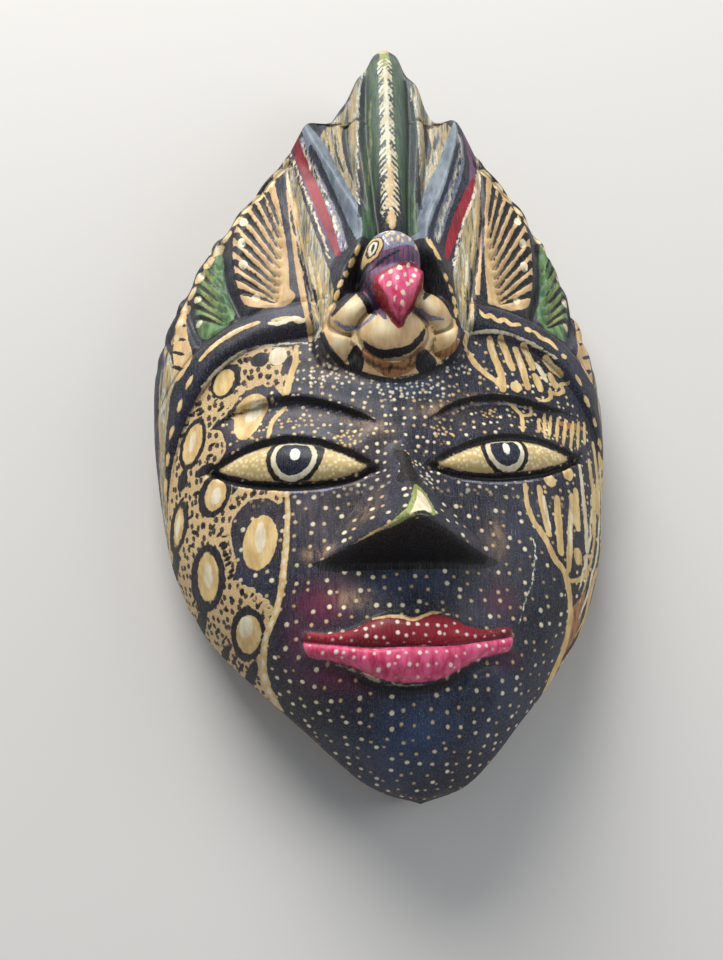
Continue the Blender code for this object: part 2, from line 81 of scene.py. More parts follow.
def hump(distance, reach):
    """1 at the middle, falling smoothly to 0 at the reach."""
    t = np.clip(np.abs(distance) / reach, 0.0, 1.0)
    return (1 - t * t) ** 2


def cut(distance, size):
    """The depth of a rounded cut, whose size is its depth and its reach."""
    depth, reach = size
    return depth * hump(distance, reach)


# %% Smooth curves through a few points


def smooth_curve(points, steps=10):
    """Points along a smooth curve through the given ones."""
    p = np.asarray(points, dtype=float)
    p = np.vstack([2 * p[0] - p[1], p, 2 * p[-1] - p[-2]])
    t = np.linspace(0.0, 1.0, steps, endpoint=False)[:, None]
    spans = [0.5 * (2 * b + (c - a) * t + (2 * a - 5 * b + 4 * c - d) * t ** 2
                    + (3 * b - a - 3 * c + d) * t ** 3)
             for a, b, c, d in zip(p, p[1:], p[2:], p[3:])]
    return np.vstack(spans + [p[-2:-1]])


def profile(points, at):
    """A smooth value read along its first coordinate."""
    curve = smooth_curve(points)
    return np.interp(at, curve[:, 0], curve[:, 1])


def to_curve(x, y, points):
    """Distance to a curve, the side it lies on (+1 left of its run) and the share along it."""
    curve = smooth_curve(points, 8)
    flat = curve[:, :2]
    lengths = np.linalg.norm(np.diff(flat, axis=0), axis=1)
    total = lengths.sum()
    best = np.full(np.shape(x), 1e9)
    side = np.ones(np.shape(x))
    share = np.zeros(np.shape(x))
    run = 0.0
    for (ax, ay), (bx, by), length in zip(flat, flat[1:], lengths):
        ux, uy = (bx - ax) / length, (by - ay) / length
        along = np.clip((x - ax) * ux + (y - ay) * uy, 0.0, length)
        dx, dy = x - ax - ux * along, y - ay - uy * along
        distance = np.hypot(dx, dy)
        nearer = distance < best
        best = np.where(nearer, distance, best)
        side = np.where(nearer, np.sign(ux * dy - uy * dx + 1e-9), side)
        share = np.where(nearer, (run + along) / total, share)
        run += length
    return best, side, share


# %% [markdown]
# ## The block before carving
# A carver saws the outline, then rounds the block from a low edge up to a high middle. Here the
# outline is a few half widths, and a power of the distance from the middle rounds the block. The
# middle line bows a little at the chin and the crest, as work cut by eye does.

# %% The outline
# Half outline: half width and place along the length, from the chin to the crest tip
OUTLINE = (
    (0, -100), (11.4, -96.8), (20.1, -90.3), (28.5, -82), (36.4, -72.5), (45.6, -60),
    (51, -48), (53.9, -38), (56.3, -20), (57.3, -6), (57.5, 10), (55.6, 22), (52.4, 32),
    (48.9, 40), (44.2, 47), (39.2, 53), (32.2, 61), (25.8, 68), (22.4, 71.3), (20.4, 72.8),
    (17.2, 73.6), (15.2, 75.6), (10.6, 84.7), (6.4, 93), (3.6, 97.8), (0, 100),
)
# The middle line bows a little to one side at the chin and at the crest, as cut by hand
MIDDLE_LINE = ((-100, 3.4), (-90, 2.6), (-82, 1.8), (-72, 0.9), (-60, 0), (-48, -0.6),
               (-30, -1.1), (-8, -1.5), (10, -1.95), (22, -1.8), (32, -1), (40, -0.4),
               (50, 0.6), (61, 0.9), (73, 1.2), (84, 2.2), (100, 3.2))
SCALLOP_PITCH, SCALLOP_DEPTH = 7.6, 0.7


def half_width(y):
    """Half the outline's width, with small scallops along the crown's edge."""
    curve = smooth_curve([(along, half) for half, along in OUTLINE])
    width = np.interp(y, curve[:, 0], curve[:, 1])
    scallop = np.abs(np.sin(np.pi * (y - 8) / SCALLOP_PITCH)) - 1
    crown = ease(6, 12, y) * ease(70, 62, y)
    return np.maximum(width + SCALLOP_DEPTH * scallop * crown, 0.0)


def edge_distance(x, y):
    """How far a place lies inside the outline, measured straight across."""
    return half_width(y) - np.abs(x - profile(MIDDLE_LINE, y))


def oval(x, y, centre_x, centre_y, half_x, half_y, turn=0.0):
    """0 at an oval's middle and 1 on its outline; turn is in degrees."""
    c, s = np.cos(np.radians(turn)), np.sin(np.radians(turn))
    dx, dy = x - centre_x, y - centre_y
    return np.hypot((dx * c + dy * s) / half_x, (dy * c - dx * s) / half_y)


# %% The rounded block
# Height of the front's edge above the table, and height along the centre line
EDGE_HEIGHT = (
    (-100, 13), (-85, 10.5), (-60, 9), (-20, 8.5), (10, 9.5), (30, 12), (50, 17), (64, 22),
    (74, 24.5), (88, 23), (100, 22.5),
)
CENTRE_HEIGHT = (
    (-100, 13), (-98.5, 18.5), (-95, 25), (-88, 33), (-78, 39), (-64, 42.5), (-48, 43),
    (-34, 42.5), (-20, 42.5), (-8, 40.5), (10, 38), (30, 36), (55, 33.5), (75, 29.5), (90, 26),
    (97, 23.5), (100, 22.5),
)
FACE_ROUNDNESS = 0.60
CROWN_ROUNDNESS = 0.86


def body_height(x, y):
    """The plain rounded block, before any carving."""
    across = np.abs(x - profile(MIDDLE_LINE, y))
    share = np.clip(across / np.maximum(half_width(y), 0.5), 0.0, 1.0)
    power = FACE_ROUNDNESS + (CROWN_ROUNDNESS - FACE_ROUNDNESS) * ease(2, 22, y)
    edge, centre = profile(EDGE_HEIGHT, y), profile(CENTRE_HEIGHT, y)
    return edge + (centre - edge) * (1 - share ** 2) ** power


# %% [markdown]
# ## The crown
# A band stands proud of the forehead, and fans of rays fill the panels behind it. Each ray is a
# V cut. One function gives every cut its rounded section, so a depth and a reach describe it.

# %% The band, the panels and the fans
# Crown band, at its lower edge, from the middle of the forehead round and down the side
BAND = ((0, 8.4), (14, 8.2), (23, 7.8), (31, 7), (37.5, 4.6), (44, -0.4), (49.4, -8),
        (52.8, -18), (54.6, -31), (54.4, -44))
BAND_HEIGHT = 8.8
BAND_SLOPE = 3.6
BAND_RISE = 3.2
BAND_STEP = 1.3         # how far the crown lies below the band's top edge
WING_MIDDLE = ((6, 0.4), (21, 0.5), (29, 0.9), (37, 1.7), (51, 1.8), (66, 0.8), (80, -0.3))
WING_EDGE = ((24.6, 66), (23.6, 51), (22.2, 36), (20, 22), (17.4, 9))
# Crown panels: grooves between them and the rays of each fan
PANEL_GROOVES = (((40, 50), (41, 40), (40.4, 29), (36.4, 16)),
                 ((52, 38), (50.6, 29), (48.8, 20), (45.6, 10)))
# Each fan: where its first and last ray start, where they end, the bulge between, the rays
FANS = (((27.6, 18.2), (26, 41), (35.4, 22.6), (30.4, 57.5), 2.4, 10),
        ((39.8, 14.4), (42, 33), (46.6, 18.8), (44.4, 40.5), 1.4, 7))
EDGE_BAND = 4.2
# Cuts: depth and reach to either side
BAND_CUT = (0.8, 1.3)
PANEL_CUT = (1.5, 1.9)
PANEL_SWELL, PANEL_SWELL_PLACE = (0.5, 2.6), 3.2
WING_CUT = (1.1, 1.5)
BORDER_CUT = (0.7, 0.9)
RAY_CUT = (0.7, 1)


def carve_crown(x, y, z):
    """The band over the forehead, the fans behind it and the crown's edge."""
    side = np.abs(x)
    distance, turn, along = to_curve(side, y, BAND)
    above = distance * turn
    fade = (1 - 0.75 * ease(0.55, 1.0, along)) * ease(1.0, 0.97, along)
    climb = 1 - (1 - np.clip(above / BAND_SLOPE, 0.0, 1.0)) ** 2.4
    z = z + BAND_RISE * fade * climb
    behind = above - BAND_HEIGHT
    z = z - BAND_STEP * ease(-0.8, 0.8, behind) - cut(behind, BAND_CUT)
    panels = ease(0.4, 1.6, behind)
    for groove in PANEL_GROOVES:
        gap = to_curve(side, y, groove)[0]
        z = z - panels * (cut(gap, PANEL_CUT) - cut(gap - PANEL_SWELL_PLACE, PANEL_SWELL))
    edge_gap = np.maximum(edge_distance(x, y), 0.0) * np.cos(np.arctan(ease(20, 70, y) * 1.3))
    wing_gap = to_curve(np.abs(x - profile(WING_MIDDLE, y)), y, WING_EDGE)[0]
    z = z - cut(wing_gap, WING_CUT) * ease(8, 12, y)
    z = z - cut(edge_gap - EDGE_BAND, BORDER_CUT) * ease(8, 14, y) * ease(72, 66, y) * panels
    inside = ease(EDGE_BAND - 0.4, EDGE_BAND + 1.2, edge_gap) * panels
    for low_start, high_start, low_end, high_end, bulge, rays in FANS:
        for step in range(rays):
            t = step / (rays - 1)
            start = (low_start[0] + (high_start[0] - low_start[0]) * t ** 1.4,
                     low_start[1] + (high_start[1] - low_start[1]) * t ** 1.4)
            end = (low_end[0] + (high_end[0] - low_end[0]) * t + bulge * np.sin(np.pi * t),
                   low_end[1] + (high_end[1] - low_end[1]) * t)
            z = z - inside * cut(to_curve(side, y, (start, end))[0], RAY_CUT)
    return z


# %% The fluted crest
# Crest flutes: crests and valleys across it, at the height of the wing tips
CREST_RIBS = ((0, 34.5), (3.2, 33.2), (5.6, 29.6), (8.2, 31), (10.6, 28), (13.2, 28.4), (16.5, 26))
CREST_FALL = ((34, 8.5), (52, 5.5), (72, 0), (85, -2.5), (93, -5.5), (100, -9))
CREST_SPREAD = ((30, 0.62), (52, 0.82), (72, 1), (100, 0.92))
CREST_MIDDLE = ((30, 1.2), (52, 1.5), (70, 2.2), (86, 2.9), (100, 3.4))


def carve_crest(x, y, z):
    """The fluted crest that rises behind the bird's head."""
    spread = profile(CREST_SPREAD, y)
    across = np.abs(x - profile(CREST_MIDDLE, y)) / spread
    height = profile(CREST_RIBS, across) + profile(CREST_FALL, y)
    inside = ease(17.5, 12.5, across) * ease(26, 34, y)
    edge = ease(-0.8, 1.7, edge_distance(x, y))
    return z + (height - z) * edge * inside


# %% The wings
# Wings: half the way between them with the ridge's height, from the tips to the boss
WING_RIDGE = ((19.8, 73.5, 32), (19.2, 67, 33.5), (16.2, 58, 35.5), (12.7, 48.5, 37.6),
              (8.8, 38.5, 40.6), (8.2, 31, 42.3), (11.3, 22.5, 42.8), (14.5, 13.5, 41),
              (16.5, 6, 38))
WING_INNER_SLOPE, WING_OUTER_SLOPE = 1.5, 1.15
WING_FLARE, WING_REACH = 0.035, 10.0
RIDGE_ROUND = 0.7


def carve_wings(x, y, z):
    """Two raised blades, plain inside and broad outside."""
    side = np.abs(x - profile(WING_MIDDLE, y))
    ridge = smooth_curve(WING_RIDGE)
    distance, turn, along = to_curve(side, y, WING_RIDGE)
    steps = np.concatenate([[0], np.cumsum(np.hypot(*np.diff(ridge[:, :2], axis=0).T))])
    top = np.interp(along, steps / steps[-1], ridge[:, 2])
    rounded = np.sqrt(distance ** 2 + RIDGE_ROUND ** 2) - RIDGE_ROUND
    slope = np.where(turn > 0, WING_INNER_SLOPE, WING_OUTER_SLOPE)
    flare = np.where(turn > 0, 0.0, WING_FLARE) * np.minimum(rounded, WING_REACH) ** 2
    return soft_max(z, top - slope * rounded + flare, 0.8)


# %% [markdown]
# ## The bird's head and the boss
# A small head with a pointed beak leans over five rounded lobes. Domes from the distance to an
# oval give soft lobes with clear cuts between them, which a plain sphere would not.

# %% The lobes and the head
# Bird's head, beak and boss: middle, half sizes and the height of the top, then any turn
HEAD = (-0.1, 22.8, 6.8, 7.8, 52)
HEAD_DOME = 5.5
BEAK_ROOT, BEAK_TIP = (0, 19.5, 52), (0.4, 6.2, 53.2)
BEAK_HALF_WIDTH = 6.9
BEAK_HALF_TIP = 0.35
BEAK_SIDES = (4.6, 2)  # how far the sides fall away at the root and at the tip
RECESS = (0.4, 21, 14.5, 9.5)
RECESS_DEPTH = 7.0
BOSS = (-0.8, 8, 16.4, 13.4, 43.4)
MIDDLE_LOBE = (-0.6, 5, 7.6, 6.4, 47.6, 0)
UPPER_LOBES = ((-9.1, 11, 6.6, 4.6, 45.5, 38), (8.2, 11.4, 6.2, 4.2, 45.5, -42))
LOWER_LOBES = ((-13.4, 4.4, 4.4, 5.4, 43.4, 0), (12.4, 4.6, 4.2, 5.2, 43.4, 0))
BOSS_DOME, LOBE_DOME = 3.0, 2.8
# Cuts round the boss's lobes, in shares of each lobe: depth, place and reach
LOWER_LOBE_CUT, UPPER_LOBE_CUT = (0.8, 1.05, 0.22), (1.3, 1.08, 0.2)


def carve_lobe(x, y, z, lobe, size):
    """One rounded lobe of the boss, with a cut round it."""
    centre_x, centre_y, half_x, half_y, top, turn = lobe
    depth, place, width = size
    reach = oval(x, y, centre_x, centre_y, half_x, half_y, turn)
    z = np.where(reach < 1.25, soft_max(z, top - LOBE_DOME * reach ** 2, 0.3), z)
    return z - depth * hump(reach - place, width)


def carve_bird(x, y, z):
    """The bird's head with its beak, over a dark recess, and the lobed boss below it."""
    recess = hump(oval(x, y, *RECESS), 1.0) * ease(9, 15, y)
    z = z - RECESS_DEPTH * recess * ease(13.5, 10.5, np.abs(x))
    reach = oval(x, y, *BOSS[:4])
    boss = BOSS[4] - BOSS_DOME * reach ** 2
    z = z + (np.maximum(boss, z) - z) * ease(1.05, 0.95, reach) * ease(17, 14, y)
    for lobe in LOWER_LOBES:
        z = carve_lobe(x, y, z, lobe, LOWER_LOBE_CUT)
    for lobe in UPPER_LOBES + (MIDDLE_LOBE,):
        z = carve_lobe(x, y, z, lobe, UPPER_LOBE_CUT)
    reach = oval(x, y, *HEAD[:4])
    head = HEAD[4] - HEAD_DOME * reach ** 2.4
    z = z + (np.maximum(head, z) - z) * ease(1.12, 0.98, reach)
    t = np.clip((BEAK_ROOT[1] - y) / (BEAK_ROOT[1] - BEAK_TIP[1]), 0.0, 1.0)
    middle = BEAK_ROOT[0] + (BEAK_TIP[0] - BEAK_ROOT[0]) * t
    half = BEAK_HALF_WIDTH * (1 - t ** 1.3) + BEAK_HALF_TIP
    share = np.abs(x - middle) / half
    crown = BEAK_ROOT[2] + (BEAK_TIP[2] - BEAK_ROOT[2]) * t + 1.2 * np.sin(np.pi * t)
    fall = BEAK_SIDES[0] + (BEAK_SIDES[1] - BEAK_SIDES[0]) * t
    beak = crown - fall * np.sqrt(share ** 2 + 0.04)
    on_beak = ease(1.14, 0.98, share) * ease(BEAK_TIP[1] - 0.9, BEAK_TIP[1] + 0.3, y)
    on_beak = on_beak * ease(BEAK_ROOT[1] + 2, BEAK_ROOT[1] - 0.5, y)
    return z + (np.maximum(beak, z) - z) * on_beak


# %% [markdown]
# ## The face
# The eyes are almonds between two lid lines, over a deep lower cut whose shade is painted black.
# The nose is a sharp wedge and the lips meet along a soft line.

# %% The eyes
# Eyes: side, outer corner, inner corner, arch of the upper lid, sag of the lower lid
EYES = ((-1, (42.4, -23.2), (7.4, -27.3), 5.1, 4.4), (1, (43, -20.6), (8, -26.6), 3.9, 4.2))
EYE_SWELL, EYE_SINK = 1.9, 1.5
# Brow cuts: side, then the cut's run from its outer to its inner end
BROWS = ((-1, ((44, -13.4), (37.5, -9.7), (30.3, -8.4), (24.5, -8.6), (18.6, -10.1), (10.7, -13.5),
               (4.6, -17.4))),
         (1, ((46.5, -9.3), (36.1, -8.8), (28.2, -8.2), (20.6, -9), (12.9, -11.8), (6, -16.8))))
LID_DROP, LID_REACH = 2.3, 11.0
UNDER_EYE_CUT, OVER_EYE_CUT = (3.2, 1.5), (1.5, 0.9)


def eye_lines(x, eye):
    """The upper and the lower lid's line of one eye at x, and the share across it."""
    side, outer, inner, arch, sag = eye
    t = (side * x - inner[0]) / (outer[0] - inner[0])
    chord = inner[1] + (outer[1] - inner[1]) * t
    bow = 4 * np.clip(t, 0.0, 1.0) * (1 - np.clip(t, 0.0, 1.0))
    return chord + arch * bow ** 1.15, chord - sag * bow ** 0.75, t


def carve_eyes(x, y, z):
    """Sockets under the brow's cut, and almond eyes over a deep lower cut."""
    for side, brow in BROWS:
        distance, turn, along = to_curve(side * x, y, brow)
        below = distance * turn
        lid = ease(-0.3, 0.4, below) * ease(LID_REACH, 2.0, below) * ease(0.0, 0.3, along)
        z = z - LID_DROP * lid * ease(1.0, 0.85, along) * (side * x > 0)
    for eye in EYES:
        mine = eye[0] * x > 0
        upper, lower, t = eye_lines(x, eye)
        middle, half = (upper + lower) / 2, np.maximum((upper - lower) / 2, 0.05)
        across = (y - middle) / half
        span = ease(-0.02, 0.04, t) * ease(1.02, 0.96, t) * mine
        swell = (1 - np.clip(np.abs(across), 0, 1) ** 2) * np.clip(4 * t * (1 - t), 0, 1)
        z = z + ease(1.06, 0.94, np.abs(across)) * span * (EYE_SWELL * swell - EYE_SINK)
        tail = ease(-0.12, 0.02, t) * ease(1.10, 1.0, t) * mine
        z = z - cut(y - (lower - 1.0), UNDER_EYE_CUT) * tail - cut(y - (upper + 0.5), OVER_EYE_CUT) * span
    return z


# %% The nose
# Nose
NOSE_ROOT, NOSE_TIP = (-22, 43), (-45, 62)
NOSE_BASE = -51.0
NOSE_HALF_WIDTHS = ((-22, 3.6), (-30, 6.5), (-38, 11), (-44, 16), (-48, 18.8), (-52, 19))
NOSE_EDGE, NOSE_BULB = 0.5, 2.6


def carve_nose(x, y, z):
    """A sharp wedge of a nose, with a flat underside that faces the chin."""
    t = np.clip((NOSE_ROOT[0] - y) / (NOSE_ROOT[0] - NOSE_TIP[0]), 0.0, 1.0)
    ridge = NOSE_ROOT[1] + (NOSE_TIP[1] - NOSE_ROOT[1]) * t ** 1.12
    half = profile(NOSE_HALF_WIDTHS[::-1], y)
    blunt = NOSE_EDGE + (NOSE_BULB - NOSE_EDGE) * ease(-38, -45, y)
    share = np.clip((np.sqrt(x ** 2 + blunt ** 2) - blunt) / (half - blunt), 0.0, 1.0)
    root = ease(NOSE_ROOT[0] + 5, NOSE_ROOT[0] - 2, y)
    rise = np.maximum(ridge - profile(CENTRE_HEIGHT, y), 0.0) * root
    tent = rise * (1 - share) ** 1.25 * (1 + 0.35 * share)
    brink = np.maximum(NOSE_TIP[0] - 0.6 - 0.12 * np.abs(x), NOSE_BASE + 1)
    return z + tent * ease(NOSE_BASE, brink, y) ** 0.8


# %% The mouth
# Mouth: half of each line, from the middle to the corner
UPPER_LIP = ((0, -63.6), (4.2, -62.8), (8.7, -63.8), (13, -65.4), (17.5, -65.6), (23.4, -64.2))
LIP_LINE = ((0, -69.8), (8.5, -69.7), (16.5, -68.1), (23.4, -66.3))
LOWER_LIP = ((0, -77.3), (5.5, -76.6), (10, -74.7), (15.3, -72), (19.5, -70.6), (23.4, -69.4))
MOUTH_CORNER = 23.4
THIN_LIP = 0.45         # thickness of the lips at the corners, as a share of the middle's
UPPER_LIP_RISE, LOWER_LIP_RISE = (0.9, 1.3), (1.6, 1.8)
# Soft swellings: middle, half sizes and rise of the muzzle, the chin and the groove above the lip
SWELLINGS = ((0, -70, 31, 17, 2.6), (0, -89, 20, 12, 2.4), (0, -58, 2.2, 5.5, -0.5))
LIP_CUT, UNDER_LIP_CUT = (0.9, 0.9), (1.4, 2.6)


def carve_mouth(x, y, z):
    """Full lips with a cut between them, and a rounded chin."""
    side = np.abs(x)
    upper, line, lower = (profile(points, side) for points in (UPPER_LIP, LIP_LINE, LOWER_LIP))
    for centre_x, centre_y, half_x, half_y, rise in SWELLINGS:
        z = z + rise * hump(oval(x, y, centre_x, centre_y, half_x, half_y), 1.0)
    width = ease(MOUTH_CORNER + 0.7, MOUTH_CORNER - 0.7, side)
    thick = width * (THIN_LIP + (1 - THIN_LIP) * ease(24, 8, side))
    on_upper = ease(line - 0.2, line + 0.3, y) * ease(upper + 0.6, upper - 0.5, y)
    on_lower = ease(line + 0.2, line - 0.3, y) * ease(lower - 0.7, lower + 0.5, y)
    tilt = np.clip((upper - y) / np.maximum(upper - line, 0.5), 0, 1)
    roll = np.clip((y - lower) / np.maximum(line - lower, 0.5), 0, 1)
    low, full = UPPER_LIP_RISE
    z = z + thick * on_upper * (low + full * np.sin(np.pi * 0.75 * tilt))
    low, full = LOWER_LIP_RISE
    z = z + thick * on_lower * (low + full * np.sin(np.pi * (0.15 + 0.75 * roll)))
    return z - width * cut(y - line, LIP_CUT) - ease(24, 16, side) * cut(y - (lower - 1.6), UNDER_LIP_CUT)


# %% All the carving


def carved_height(x, y):
    """Height of the carved front over the table, all in the sheet's millimetres."""
    z = body_height(x, y)
    z = carve_crown(x, y, z)
    z = carve_crest(x, y, z)
    z = carve_wings(x, y, z)
    z = carve_eyes(x, y, z)
    z = carve_nose(x, y, z)
    z = carve_mouth(x, y, z)
    return carve_bird(x, y, z)


# %% [markdown]
# ## The camera and the light
# The camera comes first, so that each later step can be judged in the photograph's own view. It
# looks down at the lying mask from a little left of its chin, and is turned a little. Soft
# daylight comes from beyond the crest, so each lower side, such as the nose's, stays dark.

# %% The camera
def look_from(azimuth, elevation, roll, distance, target):
    """A camera's place: its right, up and backward axes, and where it stands."""
    a, e, r = np.radians([azimuth, elevation, roll])
    back = Vector((np.sin(a) * np.cos(e), -np.cos(a) * np.cos(e), np.sin(e)))
    right = Vector((np.cos(a), np.sin(a), 0))
    turn = Matrix(((np.cos(r), np.sin(r), 0), (-np.sin(r), np.cos(r), 0), (0, 0, 1)))
    axes = (turn @ Matrix((right, back.cross(right), back))).transposed().to_4x4()
    return Matrix.Translation(Vector(target) + distance * back) @ axes


camera = bpy.data.objects.new("camera", bpy.data.cameras.new("camera"))
camera.data.lens, camera.data.clip_start = 46.875, 0.01
camera.matrix_world = look_from(-12.6, 70, 11, 0.300, (-0.00605, -0.025, 0.025))
bpy.context.scene.collection.objects.link(camera)
bpy.context.scene.camera = camera
print("the camera stands at", tuple(round(n, 3) for n in camera.matrix_world.translation))


# %% The lights
def soft_light(name, place, aim, size, watts, colour=(1, 1, 1)):
    """A square window of light that faces a point."""
    lamp = bpy.data.lights.new(name, "AREA")
    lamp.size, lamp.energy, lamp.color = size, watts, colour
    holder = bpy.data.objects.new(name, lamp)
    holder.matrix_world = (Matrix.Translation(place)
                           @ (Vector(place) - Vector(aim)).to_track_quat("Z", "Y").to_matrix().to_4x4())
    bpy.context.scene.collection.objects.link(holder)
    return holder


soft_light("window", (-0.24, 0.78, 0.52), (0, 0, 0.02), 0.6, 14.5, (1, 0.985, 0.96))
soft_light("room", (0.75, 0.05, 0.55), (0, 0, 0.02), 0.5, 2.2, (0.94, 0.97, 1))
world = bpy.data.worlds.new("studio")
world.use_nodes = True
world.node_tree.nodes["Background"].inputs["Color"].default_value = (0.80, 0.84, 0.9, 1)
world.node_tree.nodes["Background"].inputs["Strength"].default_value = 0.44
bpy.context.scene.world = world
bpy.context.scene.view_settings.view_transform = "Standard"

# %% [markdown]
# ## The carved surface
# The front is one grid. Its square is first rounded to a disc, and the disc is drawn out to the
# outline, so the cells stay nearly square and no pole lies on the face. More rows go where the
# carving turns fast: under the nose, and across the eyes, the lips and the lobes.

# %% Rows where they are needed
COLUMNS, ROWS = 214, 306
ROW_DENSITY = ((-100, 0.9), (-86, 0.9), (-80, 1.3), (-62, 1.3), (-56, 1), (-52.5, 2.2), (-47, 2.2),
               (-42, 1.2), (-34, 1.2), (-28, 1.5), (-18, 1.3), (-8, 1.1), (2, 1.3), (20, 1.4),
               (31, 1.2), (40, 0.9), (70, 0.8), (100, 0.8))


def drawn_row(share):
    """A share of the way from the crest to the chin, -1 to 1, with rows gathered by density."""
    steps = np.linspace(-1, 1, 801)
    density = np.interp(steps * HALF_LENGTH, *zip(*ROW_DENSITY))
    gathered = np.cumsum(density)
    gathered = (gathered - gathered[0]) / (gathered[-1] - gathered[0]) * 2 - 1
    return np.interp(share, gathered, steps)


# %% [markdown]
# A knife leaves no perfect curve. A few slow waves, a tenth of a millimetre high, keep the large
# smooth places from looking cast, and they are too low to change a form.

# %% Waves of the knife
def knife_waves(x, y):
    """Slow unevenness of carved wood, in millimetres."""
    wander = 1.7 * np.sin(0.11 * y + 0.7) + 1.3 * np.sin(0.19 * x - 0.4)
    waves = (np.sin(0.53 * x + wander) * np.sin(0.41 * y - 0.8 * wander)
             + 0.6 * np.sin(0.97 * x - 0.35 * y + wander) + 0.4 * np.sin(0.31 * x + 1.13 * y))
    return 0.07 * waves


def to_metres(x, y, z):
    """From the sheet to the mask's own size."""
    return np.stack(np.broadcast_arrays((x - SHEET_MIDDLE) * METRES, y * METRES, z * METRES), axis=-1)


# %% [markdown]
# A cut's wall is steeper than the grid can follow, and would show as a row of teeth. The height
# is therefore the mean of five places a quarter of a millimetre apart, as a worn edge is.

# %% The front
def rounded_height(x, y, reach=0.26):
    """The carving's height with its sharpest edges worn a little."""
    around = ((reach, reach), (-reach, reach), (reach, -reach), (-reach, -reach))
    return (carved_height(x, y) + sum(carved_height(x + dx, y + dy) for dx, dy in around)) / 5


def carved_front(shape):
    """A grid drawn out to the outline and raised to the carving."""
    bmesh.ops.create_grid(shape, x_segments=COLUMNS, y_segments=ROWS, size=1.0)
    u, v = np.array([vert.co[:2] for vert in shape.verts]).T
    round_x, round_y = u * np.sqrt(1 - v ** 2 / 2), drawn_row(v * np.sqrt(1 - u ** 2 / 2))
    y = HALF_LENGTH * round_y
    reach = np.sqrt(np.maximum(1 - round_y ** 2, 1e-12))
    x = profile(MIDDLE_LINE, y) + half_width(y) * np.clip(round_x / reach, -1, 1)
    rising = ease(0.0, 6.0, edge_distance(x, y))
    z = rounded_height(x, y)
    z = z + rising * knife_waves(x, y) * ease(61.5, 60, z)
    for vert, place in zip(shape.verts, to_metres(x, y, z)):
        vert.co = place


block = bmesh.new()
carved_front(block)
print("the front has", len(block.verts), "points and is", round(max(v.co.z for v in block.verts), 4),
      "m high")

# %% [markdown]
# ## The side wall, the rim and the hollow
# Behind the face the block is hollowed with a gouge, down to a wall of about 7 mm, and the mask
# rests on the flat rim that is left. Rings of edges are extruded from the front's border: down
# the wall, round the foot, in over the rim and up into the hollow. Extruding keeps one closed
# skin, which a second mesh behind the face would not.

# %% The line that the rings follow
WALL, HOLLOW_DEPTH, RIM_WIDTH, CHIN_RIM, CREST_RIM = 7.0, 31.0, 9.0, 12.0, 32.0
CREST_LIFT, FOOT_ROUND, SIDE_TAPER = 9.0, 2.0, 2.0


def crest_lift(y):
    """How far the underside of the crest rises off the table."""
    start = HALF_LENGTH - CREST_RIM - RIM_WIDTH / 2
    return CREST_LIFT * np.clip((y - start) / (HALF_LENGTH - start), 0.0, 1.0) ** 1.5


def drawn_in(edge, inward, height):
    """The border drawn in by some millimetres, at a height over the lifted foot."""
    x, y = edge[0] - SHEET_MIDDLE, edge[1]
    keep = 1 - inward / np.hypot(x, y)
    return x * keep + SHEET_MIDDLE, y * keep, crest_lift(y) + height


# %% The gouged hollow
def gouge_marks(x, y):
    """Shallow scoops that a round gouge leaves along the grain, in millimetres."""
    lane = x / 6.5 + 0.16 * np.sin(0.09 * y + 1.0)
    along = y / 17.0 + 0.37 * np.floor(lane) + 0.5 * np.sin(3.1 * np.floor(lane))
    across = lane - np.floor(lane) - 0.5
    step = along - np.floor(along) - 0.5
    return 0.55 * (4 * across ** 2) + 0.3 * (4 * step ** 2)


def hollow_ring(edge, scale):
    """A ring of the hollow: scale 1 is its mouth on the rim, and 0 its deepest point."""
    edge_x, edge_y = edge
    low_end, high_end = -HALF_LENGTH + CHIN_RIM, HALF_LENGTH - CREST_RIM
    slant = np.clip(edge_y / HALF_LENGTH, -1, 1)
    y = (low_end + high_end) / 2 + (high_end - low_end) / 2 * slant * scale
    half = (SHEET_WIDTH / 2 - RIM_WIDTH) * np.sqrt(1 - slant ** 2) ** 1.15
    x = profile(MIDDLE_LINE, y) + np.sign(edge_x - profile(MIDDLE_LINE, edge_y)) * half * scale
    dome = HOLLOW_DEPTH * (1 - scale ** 2.4) ** 0.55
    marks = ease(0.0, 6.0, dome) * gouge_marks(x, y)
    z = np.maximum(np.minimum(dome, carved_height(x, y) - WALL) - marks, 0.0) if scale < 1 else 0 * x
    return x, y, z


# %% Ring after ring
def next_ring(shape, corners, edges, places):
    """Extrude a closed ring of edges and move each new corner to its own place."""
    made = bmesh.ops.extrude_edge_only(shape, edges=edges)["geom"]
    fresh = {item for item in made if isinstance(item, bmesh.types.BMVert)}
    moved = []
    for corner, place in zip(corners, places):
        partner = next(edge.other_vert(corner) for edge in corner.link_edges
                       if edge.other_vert(corner) in fresh)
        partner.co = place
        moved.append(partner)
    outer = [item for item in made if isinstance(item, bmesh.types.BMEdge)
             and item.verts[0] in fresh and item.verts[1] in fresh]
    return moved, outer


rim_edges = [edge for edge in block.edges if edge.is_boundary]
corners = list(dict.fromkeys(vert for edge in rim_edges for vert in edge.verts))
border = np.array([vert.co for vert in corners]) / METRES
edge_line = (border[:, 0] + SHEET_MIDDLE, border[:, 1])
wall_height = border[:, 2] - crest_lift(border[:, 1])
print("the border has", len(corners), "points")

